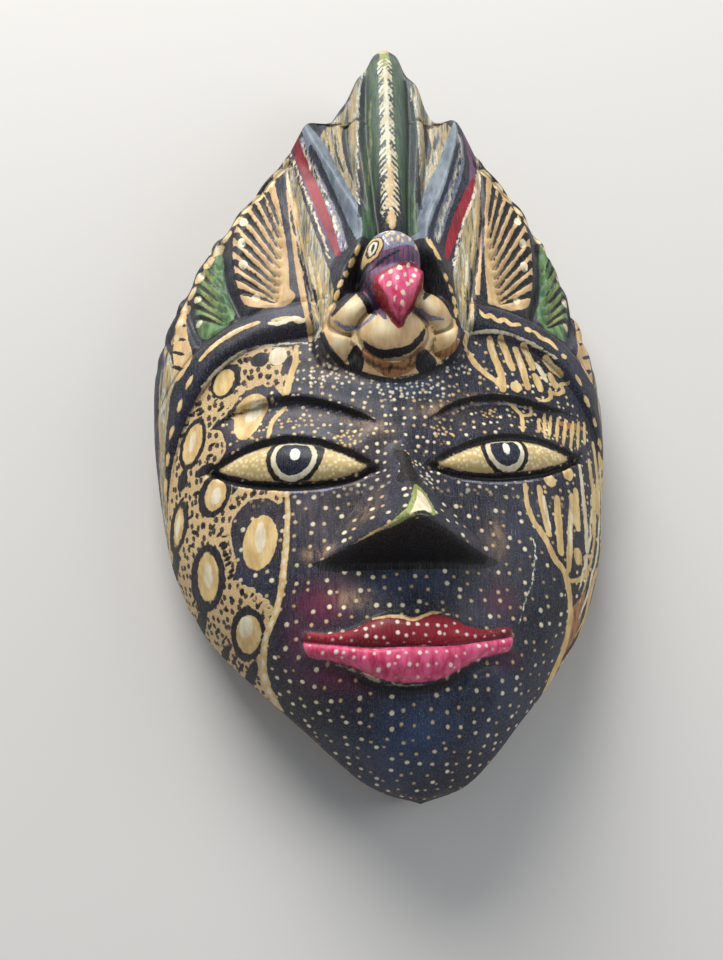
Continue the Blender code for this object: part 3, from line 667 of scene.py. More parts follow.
# %% The rings
HOLLOW_SCALES = (1, 0.9985, 0.993, 0.98, 0.96, 0.93, 0.89, 0.84, 0.78, 0.71, 0.63, 0.54, 0.44, 0.33, 0.22,
                 0.1)
rings = [drawn_in(edge_line, SIDE_TAPER * share, wall_height + (FOOT_ROUND - wall_height) * share)
         for share in (0.15, 0.4, 0.7, 1)]
rings += [drawn_in(edge_line, SIDE_TAPER + FOOT_ROUND * (1 - np.cos(a)), FOOT_ROUND * (1 - np.sin(a)))
          for a in np.radians([30, 60, 90])]
rings += [drawn_in(edge_line, SIDE_TAPER + FOOT_ROUND + 0.7, 0.0)]
rings += [hollow_ring(edge_line, scale) for scale in HOLLOW_SCALES]
front_points = len(block.verts)
for ring in rings:
    corners, rim_edges = next_ring(block, corners, rim_edges, to_metres(*ring))
bottom = to_metres(*hollow_ring(edge_line, 0.0))
corners, rim_edges = next_ring(block, corners, rim_edges, bottom)
bmesh.ops.pointmerge(block, verts=corners, merge_co=bottom.mean(axis=0))
bmesh.ops.triangulate(block, faces=block.faces[:])
bmesh.ops.recalc_face_normals(block, faces=block.faces[:])
print("the skin has", len(block.faces), "triangles and", sum(e.is_boundary for e in block.edges),
      "open edges")

# %% The mask as an object
carving = bpy.data.meshes.new("painted_mask")
block.to_mesh(carving)
block.free()
carving.shade_smooth()
mask = bpy.data.objects.new("painted_mask", carving)
bpy.context.scene.collection.objects.link(mask)
places = np.empty(len(carving.vertices) * 3)
carving.vertices.foreach_get("co", places)
places = places.reshape(-1, 3) / METRES
sheet_x, sheet_y, sheet_z = places[:, 0] + SHEET_MIDDLE, places[:, 1], places[:, 2]
print("the carving reaches", [round(float(n), 2) for n in places.min(axis=0)],
      [round(float(n), 2) for n in places.max(axis=0)], "mm")

# %% [markdown]
# ## How the paint is laid
# The painter's wax and brush leave flat shapes with clean edges: dots, strokes, ovals and filled
# areas. Each colour is kept on the mesh as one number a point: the distance in millimetres to
# the nearest edge of that colour, below zero inside it. A distance stays straight between points,
# so an edge drawn from it in the shader is far sharper than the mesh. Colours kept on the points
# themselves would blur, and an image would need an unwrapped surface.

# %% Where paint can go
painted_count = front_points + 7 * len(edge_line[0])
spot_x, spot_y = sheet_x[:painted_count], sheet_y[:painted_count]
brush_hand = np.random.default_rng(11)
print(painted_count, "points can take paint")


def along(points, count, start=0.0, end=1.0):
    """Evenly spaced places on a smooth curve, each with the direction of its run."""
    curve = smooth_curve(points, 8)[:, :2]
    lengths = np.linalg.norm(np.diff(curve, axis=0), axis=1)
    run = np.concatenate([[0.0], np.cumsum(lengths)])
    at = (start + (end - start) * (np.arange(count) + 0.5) / count) * run[-1]
    spots = np.column_stack([np.interp(at, run, curve[:, axis]) for axis in (0, 1)])
    ahead = np.column_stack([np.interp(at + 0.3, run, curve[:, axis]) for axis in (0, 1)])
    behind = np.column_stack([np.interp(at - 0.3, run, curve[:, axis]) for axis in (0, 1)])
    heading = np.degrees(np.arctan2(*(ahead - behind).T[::-1]))
    return [(x, y, turn) for (x, y), turn in zip(spots, heading)]


def mirrored(points):
    """The same points on the other side of the nose."""
    return [(-x, y) for x, y in points]


# %% One colour and its brush marks
FAR = 8.0               # the distance kept where a colour is nowhere near, in millimetres
BRUSH_REACH = 3.0       # how far round a mark its distance is worked out


class Paint:
    """Where one colour lies, as the distance in millimetres to its nearest edge."""

    def __init__(self):
        self.edge = np.full(painted_count, FAR)

    def near(self, points, margin):
        xs, ys = np.asarray(points, dtype=float).T[:2]
        return np.flatnonzero((spot_x > xs.min() - margin) & (spot_x < xs.max() + margin)
                              & (spot_y > ys.min() - margin) & (spot_y < ys.max() + margin))

    def lay(self, near, distance, inside=None):
        if inside is not None:
            distance = np.maximum(distance, inside[near])
        self.edge[near] = np.minimum(self.edge[near], distance)

    def stroke(self, points, width, taper=0.35, inside=None, start=1.0):
        """A brush stroke that thins towards its ends, and may start narrower than it ends."""
        near = self.near(points, width + BRUSH_REACH)
        distance, _, share = to_curve(spot_x[near], spot_y[near], points)
        swell = (start + (1 - start) * share) * (1 - taper * np.abs(2 * share - 1) ** 2.5)
        self.lay(near, distance - width / 2 * swell, inside)

    def oval(self, x, y, half_x, half_y, turn=0.0, inside=None):
        reach = max(half_x, half_y)
        near = self.near([(x, y)], reach + BRUSH_REACH)
        share = oval(spot_x[near], spot_y[near], x, y, half_x, half_y, turn)
        self.lay(near, (share - 1) * min(half_x, half_y), inside)

    def ovals(self, places):
        for place in places:
            self.oval(*place)

    def patch(self, points, inside=None):
        """An area with a smooth closed outline."""
        ring = np.array(smooth_curve(list(points) + [points[0]], 6))[:, :2]
        near = self.near(ring, BRUSH_REACH)
        x, y = spot_x[near], spot_y[near]
        distance, within = np.full(len(near), 1e9), np.zeros(len(near), dtype=bool)
        for (ax, ay), (bx, by) in zip(ring, ring[1:]):
            run = max(np.hypot(bx - ax, by - ay), 1e-9)
            ux, uy = (bx - ax) / run, (by - ay) / run
            t = np.clip((x - ax) * ux + (y - ay) * uy, 0, run)
            distance = np.minimum(distance, np.hypot(x - ax - ux * t, y - ay - uy * t))
            if by != ay:
                within ^= ((ay > y) != (by > y)) & (x < ax + (bx - ax) * (y - ay) / (by - ay))
        self.lay(near, np.where(within, -distance, distance), inside)

    def beads(self, points, count, half_along, half_across, lean=0.0, offset=0.0, start=0.0, end=1.0):
        """A row of small ovals on a curve, each a little off by hand."""
        for x, y, heading in along(points, count, start, end):
            slip = brush_hand.normal(0, 0.12, 2)
            out = np.radians(heading + 90)
            self.oval(x + offset * np.cos(out) + slip[0], y + offset * np.sin(out) + slip[1],
                      half_along * (1 + brush_hand.normal(0, 0.1)), half_across, heading + lean)


def area_between(upper, lower, start, end):
    """The outline of an area between two lines that are functions of x."""
    across = np.linspace(start, end, 26)
    return ([(x, float(upper(x))) for x in across] + [(x, float(lower(x))) for x in across[::-1]])


# %% [markdown]
# ## The colours of the pattern
# Paint is laid from the ground up, so a list in order is enough to say what hides what. The same
# order is used in the shader later on.

# %% The list of colours
PAINT_NAMES = ("feather", "slate", "moss", "leaf", "lime", "ochre", "umber", "dusk", "plum", "crimson",
               "rose", "net", "ink", "gold", "hole", "cream", "navy", "spark")
paints = {name: Paint() for name in PAINT_NAMES}
(feather, slate, moss, leaf, lime, ochre, umber, dusk, plum, crimson, rose,
 net, ink, gold, hole, cream, navy, spark) = paints.values()

# %% [markdown]
# ## The lace on one cheek
# Half of the face wears a lace of gold with dark holes, broken by round medallions. The lace is
# one filled area, and each medallion is a dark ring, a gold oval and a cream middle laid on it.

# %% The lace
LACE = ((-24.5, 5), (-29.3, 6.1), (-34.3, 5.7), (-38.9, 3.7), (-42.7, 1), (-46, -2), (-50, -9),
        (-53, -17), (-54.6, -26), (-55, -36), (-53.5, -45), (-50.5, -53), (-46, -61), (-41, -69),
        (-35, -77.5), (-28.5, -85.5), (-23.5, -91), (-22.6, -86.6), (-25.6, -82.2), (-28.2, -78.6),
        (-30.1, -75.2), (-31.6, -71.6), (-32, -68.6), (-31.4, -64.5), (-30.5, -60.2), (-31.9, -57.4),
        (-34.2, -54.6), (-36.6, -52.4), (-38.7, -50.4), (-37.8, -47.5), (-38.4, -44), (-39.1, -40.5),
        (-38.9, -37.6), (-37.6, -35.2), (-35.5, -33.4), (-33, -32.7), (-30.4, -33.2), (-28, -35),
        (-27.2, -33.6), (-30.2, -30.6), (-33.8, -29.6), (-37.5, -30.5), (-39.6, -32.6), (-38.8, -29.5),
        (-39.2, -26.6), (-43.6, -24.2), (-42, -22.2), (-40.2, -19.4), (-40.6, -16.3), (-41.4, -14.2),
        (-43.4, -12.8), (-41.5, -10.6), (-39.2, -8), (-37.3, -5.4), (-34.5, -3.7), (-31.5, -3.2),
        (-29.2, -4.2), (-27.6, -6.6), (-26.4, -8.2), (-25, -7.4), (-24, -3.2), (-22.7, 1.2))
net.patch(LACE)
LACE_EDGES = (((-27.4, -32.6), (-30.2, -30.1), (-33.8, -29.2), (-37, -30.2), (-39.6, -32.6)),
              ((-38.7, -51.2), (-36.6, -53), (-34.2, -54.2), (-31.9, -56.8), (-30.4, -59.6)),
              ((-41.5, -10.8), (-39.2, -8.2), (-37.3, -5.6), (-34.5, -3.9), (-31.5, -3.4), (-29.2, -4.4)),
              ((-38.9, -34.6), (-40.5, -37.2), (-41, -40.5)))
for edge in LACE_EDGES:
    net.beads(edge, max(3, int(len(edge) * 1.3)), 1.35, 1.1, offset=0.2)
RINGS_ROUND = ((-40.2, -1.2, 3.5, 4.6, -18), (-38.9, 1.4, 2.2, 1.6, 30), (-48.3, -15.3, 3.2, 6.4, -12),
               (-42.9, -29.4, 4, 5.4, -10), (-44.7, -48, 4.2, 7.3, 5), (-35.5, -62.1, 3.9, 5.6, 12),
               (-51.9, -33.9, 2.5, 6, -8), (-31.8, 2.9, 2.4, 2, 25), (-25.4, 0.2, 1.2, 2.7, -20),
               (-47.2, -57.6, 1.7, 4.6, -22), (-42.2, -66.4, 1.3, 4.4, -32), (-45.4, -22.9, 2.6, 1.3, 20),
               (-50.8, -23.4, 1.3, 2.6, -12), (-53, -42, 1.2, 3.4, -4), (-35, -70.5, 1.4, 3, -26))
ink.ovals(RINGS_ROUND)
print((net.edge < 0).sum(), "points under the lace")

# %% The holes of the lace
HOLE_ROWS = (((-40.3, -38.5), (-40.6, -42.5), (-39.6, -46.4), (-38.9, -49.4)),
             ((-29.5, -31.4), (-33.8, -31), (-37.2, -32.2), (-39.2, -34.8)),
             ((-49.6, -40.6), (-47.7, -36.9), (-44.2, -36.2), (-41.6, -39.6), (-40, -45.6), (-38.9, -50.5)),
             ((-41.4, -57.2), (-39.6, -54.6), (-36.6, -53.4), (-34, -55), (-32.2, -57.8)),
             ((-48.9, -50.5), (-45.6, -56.2), (-41.2, -61.8), (-38.2, -67.2), (-34.6, -72.8), (-29.4, -79.6)),
             ((-39.6, -5.6), (-36.6, -2.3), (-32.6, -1.4), (-29.2, -2.6), (-27.6, -5.6)),
             ((-43.4, -4.4), (-41.6, -7.4), (-40.6, -9.2)), ((-36.9, 2.9), (-34.6, 3.6)),
             ((-43.6, -15.8), (-43.4, -18.4), (-44.6, -20.9)),
             ((-51.6, -26.5), (-49.8, -30.5), (-48.6, -34.4)),
             ((-46.6, -4.2), (-49.2, -8.4), (-51.2, -13.2)), ((-46.4, -8.8), (-47.2, -5.8)),
             ((-47.2, -26.6), (-47.6, -31.4)))
for row in HOLE_ROWS:
    run = np.linalg.norm(np.diff(row, axis=0), axis=1).sum()
    hole.beads(row, max(2, round(run / 2.6)), 0.45, 0.95, lean=8)

# %% The medallions
MEDALLIONS = (((-40.6, -1.4, 2.4, 3.6, -18), None),
              ((-48.3, -15.3, 2.3, 5, -13), (-48.4, -14.7, 0.8, 2.7, -12)),
              ((-42.7, -29.6, 2.6, 3.7, -8), (-42.5, -30.1, 1.2, 2.1, -10)),
              ((-32.4, -43.1, 3.9, 6.2, -7), (-32.3, -42, 1.3, 3.4, -2)),
              ((-44.6, -48, 2.5, 5.5, 5), (-44.5, -47.6, 1, 2.9, 4)),
              ((-35.3, -62.3, 2.8, 3.9, 13), (-35.8, -60.9, 1.6, 2.2, 14)),
              ((-51.9, -33.9, 1.3, 4.3, -6), (-52, -33.6, 0.6, 2.6, -6)))
for gold_oval, cream_oval in MEDALLIONS:
    gold.oval(*gold_oval)
    if cream_oval:
        cream.oval(*cream_oval)
cream.oval(-27.6, 3.2, 2.2, 2.5, -9)
gold.patch(((-38.1, -9.9), (-36, -6.9), (-32.7, -6.2), (-30.1, -8.6), (-31.2, -11.8), (-33.6, -16.3),
            (-36.1, -17.7), (-38.1, -15.4)))
cream.oval(-33.4, -10.3, 1.5, 3, -33)
print(len(MEDALLIONS), "medallions")

# %% The lines that end the lace
LACE_BORDER = ((-26.2, -31.6), (-26.1, -37.5), (-26.5, -44.4), (-27.3, -50.9), (-27.9, -55), (-29.1, -59.4),
               (-30.7, -62.6), (-31.8, -65.7), (-32, -69.3), (-31.6, -72.1), (-30.1, -75.6), (-28.2, -79),
               (-25.8, -82.5), (-22.9, -86.3))
gold.stroke(LACE_BORDER, 1.5)
cream.beads(LACE_BORDER, 22, 1.0, 0.42)
gold.stroke(((-23.1, 5.4), (-23.5, 1.1), (-24.8, -2.9), (-26.1, -8.2)), 1.5)
gold.stroke(((-26, -10), (-28.8, -13.1), (-30, -17.2), (-30.1, -18.9)), 1.3)
gold.stroke(((-31.5, -30), (-29.4, -31), (-27.4, -33.2)), 1.2)
FOOT_LINES = (((-20.5, 5.7), (-25, 6.3), (-29.3, 6.5), (-34.3, 6.1), (-38.9, 4.1), (-42.7, 1.4), (-46, -1.6)),
              ((16.8, 7.6), (21.3, 8.6), (25.4, 9), (29, 8.8), (32.9, 7.9), (37.4, 6.3), (41.9, 4)))
for line in FOOT_LINES:
    cream.stroke(line, 0.75)

# %% [markdown]
# ## The ribs on the other cheek
# The other half has bold gold capsules inside a leaf over the brow, and a curtain of them below
# the eye. Cream is laid on some while the gold is wet, so a few are paler.

# %% The leaf over the brow
gold.stroke(((18, 7.2), (17.1, 4.1), (18.2, 2.2), (19.8, -0.5), (22.2, -2.8), (24.3, -4.4), (26.1, -6.6)),
            1.6)
CAPSULES = (((23.9, 7.3), (24.3, 4), (25.2, 0.5), (26.1, -3.5), (26, -6.4)),
            ((26.8, 7.7), (27.7, 4.9), (29, -0.1)), ((30.6, 5.8), (31.6, 1.6), (32.7, -4.6)),
            ((32.7, 6.9), (33.8, 4.4), (34.7, 1.3)), ((35.1, -0.9), (36.2, -4.4)),
            ((39.4, 0.2), (40.7, -2.3)), ((38.4, 4.5), (40, 2.7), (42.4, 1.3)))
for capsule in CAPSULES:
    gold.stroke(capsule, 2.0, 0.15)
gold.oval(29.5, -5, 1.6, 1.5)
gold.stroke(((34.6, -7.2), (36.8, -7.4), (38.9, -6), (38.8, -4.4), (40.8, -4.5), (43, -2.9), (42.2, -1.5),
             (44.8, -0.5)), 1.1)
cream.stroke(((35.8, 2.7), (37.1, 0.4), (38.2, -1.6)), 1.5)
for streak in (((24.4, 6.2), (24.9, 2.5)), ((31, 4.8), (31.8, 0.6)), ((33.2, 6), (34.2, 3)),
               ((39.2, 4), (41, 2.4))):
    cream.stroke(streak, 0.8)

# %% Under the brow
gold.stroke(((24.6, -7.9), (27.9, -8.8), (29.5, -10.5), (30.6, -11.9), (30.4, -14.2), (29.9, -16.9)), 1.2)
gold.stroke(((30.6, -11.9), (33.1, -11), (33.4, -8.9)), 1.0)
TEMPLE = (((35.3, -11.9), (34.5, -16.1)), ((37, -10.3), (35.8, -17.2)), ((38.7, -10.4), (36.9, -17.6)),
          ((40.5, -10.8), (39.1, -18)), ((42.7, -11), (40.8, -18.5)), ((44.8, -10.8), (43, -18.5)),
          ((46.7, -10.1), (45.2, -18.1)), ((48.7, -9.3), (47.7, -15.9)))
for rib in TEMPLE:
    gold.stroke(rib, 1.05)
umber.stroke(((39.5, -12.2), (44, -12.2), (48.6, -11.6)), 1.6, 0.6)

# %% The curtain below the eye
RIB_BORDER = ((29.3, -30.6), (29.3, -34.9), (30.7, -39.2), (33.5, -43.3), (35.7, -47.3), (38.3, -50),
              (39.5, -54), (39.9, -58.1), (39.4, -62.6), (38.1, -67.1), (35.8, -71.7), (32.6, -78.6))
gold.stroke(RIB_BORDER, 1.7)
CURTAIN = ((((33, -30.8), (33.5, -35.9), (34.6, -41.7)), 1.7),
           (((37.7, -32.5), (37.5, -38.6), (37.5, -45.5)), 2.0),
           (((42.1, -30.6), (40.8, -39.6), (39.6, -48.9)), 1.6), (((43.4, -29.2), (43.2, -38.5)), 1.9),
           (((48.8, -19.5), (49.4, -28.2), (48.4, -38.3)), 1.3),
           (((51, -14.1), (51.6, -22), (51, -32)), 1.2), (((53, -16), (53.4, -26), (52.2, -38)), 1.0))
for rib, width in CURTAIN:
    gold.stroke(rib, width, 0.15)
cream.stroke(((45.4, -22), (45.9, -31.9), (45.7, -43)), 1.3)
cream.stroke(((33.9, -32.6), (34.3, -36.4), (35.2, -40.6)), 0.9)
cream.stroke(((41.9, -33), (41, -39.6), (40.2, -45.5)), 0.8)
gold.ovals(((36.1, -28.5, 1.7, 1.5, 0), (41.5, -25.4, 1.6, 1.8, -20), (42.7, -45.2, 1.3, 2, 0)))
gold.stroke(((39.3, -51.6), (43, -50.4), (45.6, -47.6), (45.2, -44.9), (47.9, -43.5)), 1.2)

# %% The striped flank
umber.patch(((40.2, -57.4), (43.4, -54.2), (48.4, -47.6), (51.6, -42.6), (52.6, -45.2), (50, -51.5),
             (46.4, -58.4), (41.8, -66.2), (36.6, -74.2), (33.2, -79.4), (34, -76), (37.8, -68.6),
             (39.6, -62.6)))
for start, end in (((49.4, -45.4), (35.2, -76.2)), ((47.2, -50.4), (38.3, -69.5)),
                   ((51.3, -46.8), (40.4, -67.8)), ((51, -51), (43, -64.4))):
    bow = ((start[0] + end[0]) / 2 + 1.8, (start[1] + end[1]) / 2 - 1.5)
    gold.stroke((start, bow, end), 0.75)
    ink.stroke([(x - 1.25, y - 0.4) for x, y in (start, bow, end)], 0.9)
SCRATCHED_DOTS = ((30.3, -43.3), (30.3, -47.7), (29.3, -53.2), (27.1, -58.3), (25, -63.7))
spark.beads(SCRATCHED_DOTS, 26, 0.42, 0.17, start=0.02)
print((gold.edge < 0).sum(), "points under gold strokes")

# Thin stripes along the cheek's outer side
for number, inset in enumerate((1.6, 3.2, 4.9, 6.5)):
    down = np.linspace(-12.0 - 5.0 * number, -63.0 + 3.0 * number, 12)
    line = [(float(half_width(y)) - inset - 0.2 * np.sin(y), float(y)) for y in down]
    (cream if number % 2 else gold).stroke(line, 0.8, 0.8)

# %% [markdown]
# ## The eyes
# Each eye is ochre with fine speckles, a cream ring round a dark iris and one light spot. The
# ring is cut off by the upper lid, so it is laid only inside the almond.

# %% The whites, the rings and the lids' lines
almond = np.full(painted_count, FAR)
for eye in EYES:
    side, outer, inner = eye[:3]
    lids = Paint()
    lids.patch(area_between(lambda x: eye_lines(np.array(x), eye)[0],
                            lambda x: eye_lines(np.array(x), eye)[1],
                            side * inner[0], side * outer[0]))
    almond = np.minimum(almond, lids.edge)
ochre.lay(np.arange(painted_count), almond + 0.1)
IRISES = ((-24.4, -24.2, 5.3, 5.3), (24.8, -22.8, 4.8, 4.9))
for x, y, half_x, half_y in IRISES:
    lean = 1 if x < 0 else -1
    hole.oval(x, y, half_x + 1.1, half_y + 0.9, inside=almond + 0.15)
    navy.oval(x, y + 0.1, half_x - 1.1, half_y - 1.1, inside=almond + 0.5)
    cream.oval(x, y, half_x, half_y, inside=almond + 0.15)
    spark.oval(x + 0.3, y + 0.6, 1.2 if x < 0 else 0.9, 1.6, inside=almond + 0.5)
ink.patch(((-20.6, -29.3), (-18.4, -26.4), (-17.4, -22.6), (-20, -22), (-22.4, -27)), inside=almond + 0.15)
for eye in EYES:
    side, outer, inner = eye[:3]
    across = np.linspace(inner[0], outer[0], 16) * side
    upper, lower, _ = eye_lines(across, eye)
    for part in (slice(1, 5), slice(11, 15)):
        cream.stroke(list(zip(across[part], upper[part] - 0.6)), 0.5, 0.7)
    hole.stroke(list(zip(across, upper + 0.75)), 1.6, 0.5)
    # Painted shade: the deep cut under each eye is laid in solid black
    hole.stroke(list(zip(across, lower - 1.35)), 2.4, 0.6)
    dusk.stroke(list(zip(across[1:-1], lower[1:-1] - 2.9)), 0.55, 0.8)
hole.stroke(((-41.5, -23.4), (-43.6, -22.3), (-45.2, -20.9)), 0.9)
hole.stroke(((42.2, -20.9), (45, -19.6), (46.8, -18.4)), 0.9)

# %% The brows' cuts, in painted shadow and painted highlight
# Painted shadow: a black line along each brow's cut, where its wall faces away from the light. Painted
# highlight: a thin grey line just below it, on the lid's lit edge.
for side, brow in BROWS:
    line = [(side * x, y) for x, y in brow]
    whole = side > 0
    for part in ([line] if whole else [line[:2], line[2:]]):
        hole.stroke([(x, y + 0.1) for x, y in part], 1.1, 0.6)
    dusk.stroke([(x, y - 1.0) for x, y in line[1 if whole else 3:]], 0.6, 0.8)
gold.stroke(((-38.6, -10.6), (-35.6, -9.9), (-32.4, -9.1)), 1.9, 0.2)
hole.stroke(((-38.6, -10.6), (-35.4, -9.7), (-31.8, -8.9)), 0.35)

# %% [markdown]
# ## The nose and the lips
# The nose is black with a rubbed cream tip, and its underside, which faces away from the light,
# is laid in solid black as painted shade. The upper lip is a deep red and the lower one a pinker
# red, with a gold line over the middle and a painted shadow under the lower lip.

# %% The nose
# Painted shade: the nose's underside, over its dark paint, is laid in solid black
hole.patch(((-21.4, -49.6), (-10, -47.6), (-3, -46.9), (1, -46.2), (5, -46.5), (10, -47.4), (20.6, -49.6),
            (16, -52), (0, -52.4), (-16, -52)))
lime.patch(((1.4, -35.6), (3.2, -36.6), (4.7, -40.2), (4.8, -44.8), (2, -45.8), (-1.6, -46.4), (-6, -47.4),
            (-3.4, -45.4), (-1.4, -43.6), (0, -39.6)))
gold.stroke(((-3.4, -46.2), (-6.4, -46.9), (-9.4, -47.4), (-12.4, -47.9)), 0.6, 0.8)
cream.patch(((1.8, -37.4), (3.2, -38.6), (4.1, -42), (3.8, -44.6), (1.6, -45.2), (-1.4, -46), (0, -43.4),
             (1, -40.4)))
navy.stroke(((-0.6, -45.8), (1.8, -45.1), (4.2, -45.3)), 1.0, 0.6)
hole.patch(((-2, -24.5), (-1.2, -29.8), (-2.2, -34.6), (0.2, -35.4), (1.6, -35), (3, -35.6), (2.4, -31),
            (0.8, -25.6)))

# %% The lips
def lip(points):
    """A lip's edge line as a function of x."""
    return lambda x: profile(points, abs(x))


over = np.maximum(np.abs(spot_x) - MOUTH_CORNER + 3.2, 0)
ends = np.where(over > 0, np.hypot(over, 0.9 * (spot_y - float(lip(LIP_LINE)(MOUTH_CORNER)) + 0.8)) - 3.0,
                -8.0)
crimson.patch(area_between(lip(UPPER_LIP), lip(LIP_LINE), -MOUTH_CORNER, MOUTH_CORNER), inside=ends)
rose.patch(area_between(lip(LIP_LINE), lip(LOWER_LIP), -MOUTH_CORNER, MOUTH_CORNER), inside=ends)
lips = np.minimum(crimson.edge, rose.edge)
gold.stroke(((-8.2, -63.5), (-3.5, -63.3), (0.4, -64.3), (4.5, -62.6), (8.6, -62.9)), 0.9)
cream.stroke(((-6.6, -63.3), (-2.5, -63.2), (1.4, -64)), 0.4)
across = np.linspace(-MOUTH_CORNER + 0.5, MOUTH_CORNER - 0.5, 15)
hole.stroke([(x, float(lip(LIP_LINE)(x))) for x in across], 0.35, 0.8)
cream.stroke([(x, float(lip(LOWER_LIP)(x)) - 0.3) for x in across if -19 < x < 5], 0.35)
# Painted shadow: a dark stroke under the middle of the lower lip, where it overhangs the chin
ink.stroke([(x, float(lip(LOWER_LIP)(x)) - 1.3) for x in across if abs(x) < 15], 1.7, 0.9)
print((lips < 0).sum(), "points on the lips")

# %% [markdown]
# ## The crown's paint
# Behind the band the panels carry fans: gold, green, then gold again, with dark cuts between the
# rays and a pale dot where a ray ends. The rays follow the same lines as the carved cuts.

# %% The fans
GOLD_FAN = ((24.4, 17.5), (24.6, 30), (25.5, 40), (26.8, 50), (28, 57.4), (30.5, 55), (33.6, 51),
            (36.8, 46.4), (38.4, 40), (38.1, 31), (37, 24), (35, 18.6), (30, 16.8))
GREEN_FAN = ((42.2, 41.6), (45.5, 35.6), (47.6, 28), (48.2, 20), (46.8, 14.4), (44.6, 11.8), (41, 13.4),
             (37.9, 16.6), (39.7, 24), (40.6, 31), (41.1, 37))
OUTER_FAN = ((50.2, 28), (52.6, 22), (53.6, 14), (53.4, 7), (52.4, 1.5), (49.6, 3.8), (48.4, 7.6),
             (49.6, 13), (50.4, 20))
for turned in (lambda points: list(points), mirrored):
    ochre.patch(turned(GOLD_FAN))
    leaf.patch(turned(GREEN_FAN))
    ochre.patch(turned(OUTER_FAN))
    for fan, (low_start, high_start, low_end, high_end, bulge, rays) in enumerate(FANS):
        for step in range(rays):
            t = step / (rays - 1)
            start = (low_start[0] + (high_start[0] - low_start[0]) * t ** 1.4 + 0.6,
                     low_start[1] + (high_start[1] - low_start[1]) * t ** 1.4)
            end = (low_end[0] + (high_end[0] - low_end[0]) * t + bulge * np.sin(np.pi * t),
                   low_end[1] + (high_end[1] - low_end[1]) * t)
            if fan == 0:
                ink.stroke(turned((start, (end[0] + (end[0] - start[0]) * 0.28,
                                           end[1] + (end[1] - start[1]) * 0.28))), 1.9, 0.1, start=0.3)
            else:
                ink.stroke(turned((start, (end[0] + 1.6, end[1] + 1.8))), 1.3, 0.1, start=0.3)
                if t < 0.7:
                    low_ray = ((start[0] + 1.0, start[1] + 1.6), (end[0] - 0.2, end[1] + 1.7))
                    lime.stroke(turned(low_ray), 0.8, 0.6)
            if fan and step % 2 == 0:
                (x, y), = turned([(end[0] + 0.4, end[1] - 0.9)])
                cream.oval(x, y, 0.95, 1.1)
    for step in range(4):
        ink.stroke(turned(((50.6, 4.5 + 4.6 * step), (53.6, 7.0 + 4.6 * step))), 0.9, 0.3)
for line in (((-26.4, 62), (-31.6, 56), (-37.2, 50.2), (-40.4, 46.2), (-43.4, 41), (-47.6, 35), (-50.6, 29.6),
              (-53.4, 22.4), (-55.2, 15)),
             ((28.4, 61.6), (33.5, 56.4), (37.6, 50.8), (41.4, 46.6), (45, 42), (48.4, 37), (51.4, 30),
              (53.8, 22), (55, 15))):
    line = [(x - 1.7 * np.sign(x), y - 1.2) for x, y in line]
    gold.beads(line, 13, 1.7, 1.2)
    cream.beads(line, 13, 0.9, 0.7)
for x, y in ((35.6, 45.4), (36.2, 38.6), (35.8, 31.6), (32.6, 20.4)):
    cream.oval(-x, y, 1.1, 1.5, 10)
    cream.oval(x, y, 1.0, 1.4, -10)
ochre.patch(((-28.4, 20.6), (-25, 21.4), (-23, 19), (-25.4, 16.6), (-28.4, 16.8)))
print((leaf.edge < 0).sum(), "points under green")

# %% The band's strokes
cream.stroke(((-21.3, 10.7), (-23.7, 11.6), (-27.2, 10.8), (-29.5, 11.3)), 1.4)
gold.stroke(((-20.4, 11.6), (-22.4, 10.6), (-25, 12), (-29, 11.9)), 1.0)
gold.stroke(((-32, 12.2), (-37.4, 10.8), (-42.6, 8.4), (-46.4, 5)), 1.5)
cream.stroke(((-34, 12.2), (-38, 11), (-41.8, 9.2)), 0.8)
gold.stroke(((21.3, 14.1), (22.8, 12.4), (24.3, 13), (26, 11.7), (27.8, 12.5), (29.6, 11.4), (31.9, 11.9)),
            1.4)
gold.oval(34.1, 11, 1, 0.9)
gold.stroke(((35.9, 10.8), (37.6, 9.4), (39.7, 9), (41.7, 7.2)), 1.6)
gold.oval(43.4, 5.6, 0.9, 0.8)
gold.beads(((-47.6, 2.6), (-51.4, -5), (-54.2, -14), (-55.6, -26)), 5, 1.7, 0.6)
gold.beads(((46, 2.2), (50.2, -5.4), (53.4, -14), (55, -26)), 6, 1.5, 0.6)

# %% [markdown]
# ## The wings and the crest
# These are feathers, so most of their paint is strokes that run along them. A streaked colour
# from the shader fills the feathered areas, and single strokes lead the eye over it.

# %% The wings
WING_FACETS = (((-20.1, 71.4), (-18, 70), (-15.6, 66.9), (-12.6, 59.6), (-9.2, 49.2), (-6.4, 40.9),
                (-5.2, 32.5), (-7.4, 29.4), (-9.8, 38.4), (-12.6, 47.5), (-15.6, 55.6), (-18.2, 62),
                (-20.1, 68)),
               ((19.6, 71.7), (17.6, 67), (14.6, 58.6), (11.2, 51), (8.2, 44.5), (5.8, 36.1), (5.4, 29),
                (7.9, 29.5), (9.9, 34.6), (13.1, 43), (15.8, 50.9), (18.5, 60.5), (20.4, 67.4)))
FEATHERED = (((-24.5, 67), (-22.6, 60), (-21, 51.9), (-18.8, 40.6), (-16.5, 32.3), (-14.6, 23.5), (-14.2, 14),
              (-15.6, 7.6), (-19, 6.6), (-20.5, 22), (-22.8, 36), (-24.2, 51), (-25.4, 63)),
             ((25.6, 68), (23, 56), (19.9, 43), (18, 33), (15.6, 24), (15.4, 14), (16.3, 8.6), (19.4, 8.4),
              (20.8, 22), (23.4, 36), (24.8, 51), (26.4, 62)),
             ((-56, 16), (-57.2, 2), (-57.2, -14), (-56.4, -30), (-55.6, -40), (-54.9, -30), (-55.2, -14),
              (-53.9, -2), (-52.6, 4)), ((55.6, 16), (56.8, 2), (56.6, -14), (55.8, -30), (54.9, -22),
                                         (54.4, -10), (53.6, 0)))
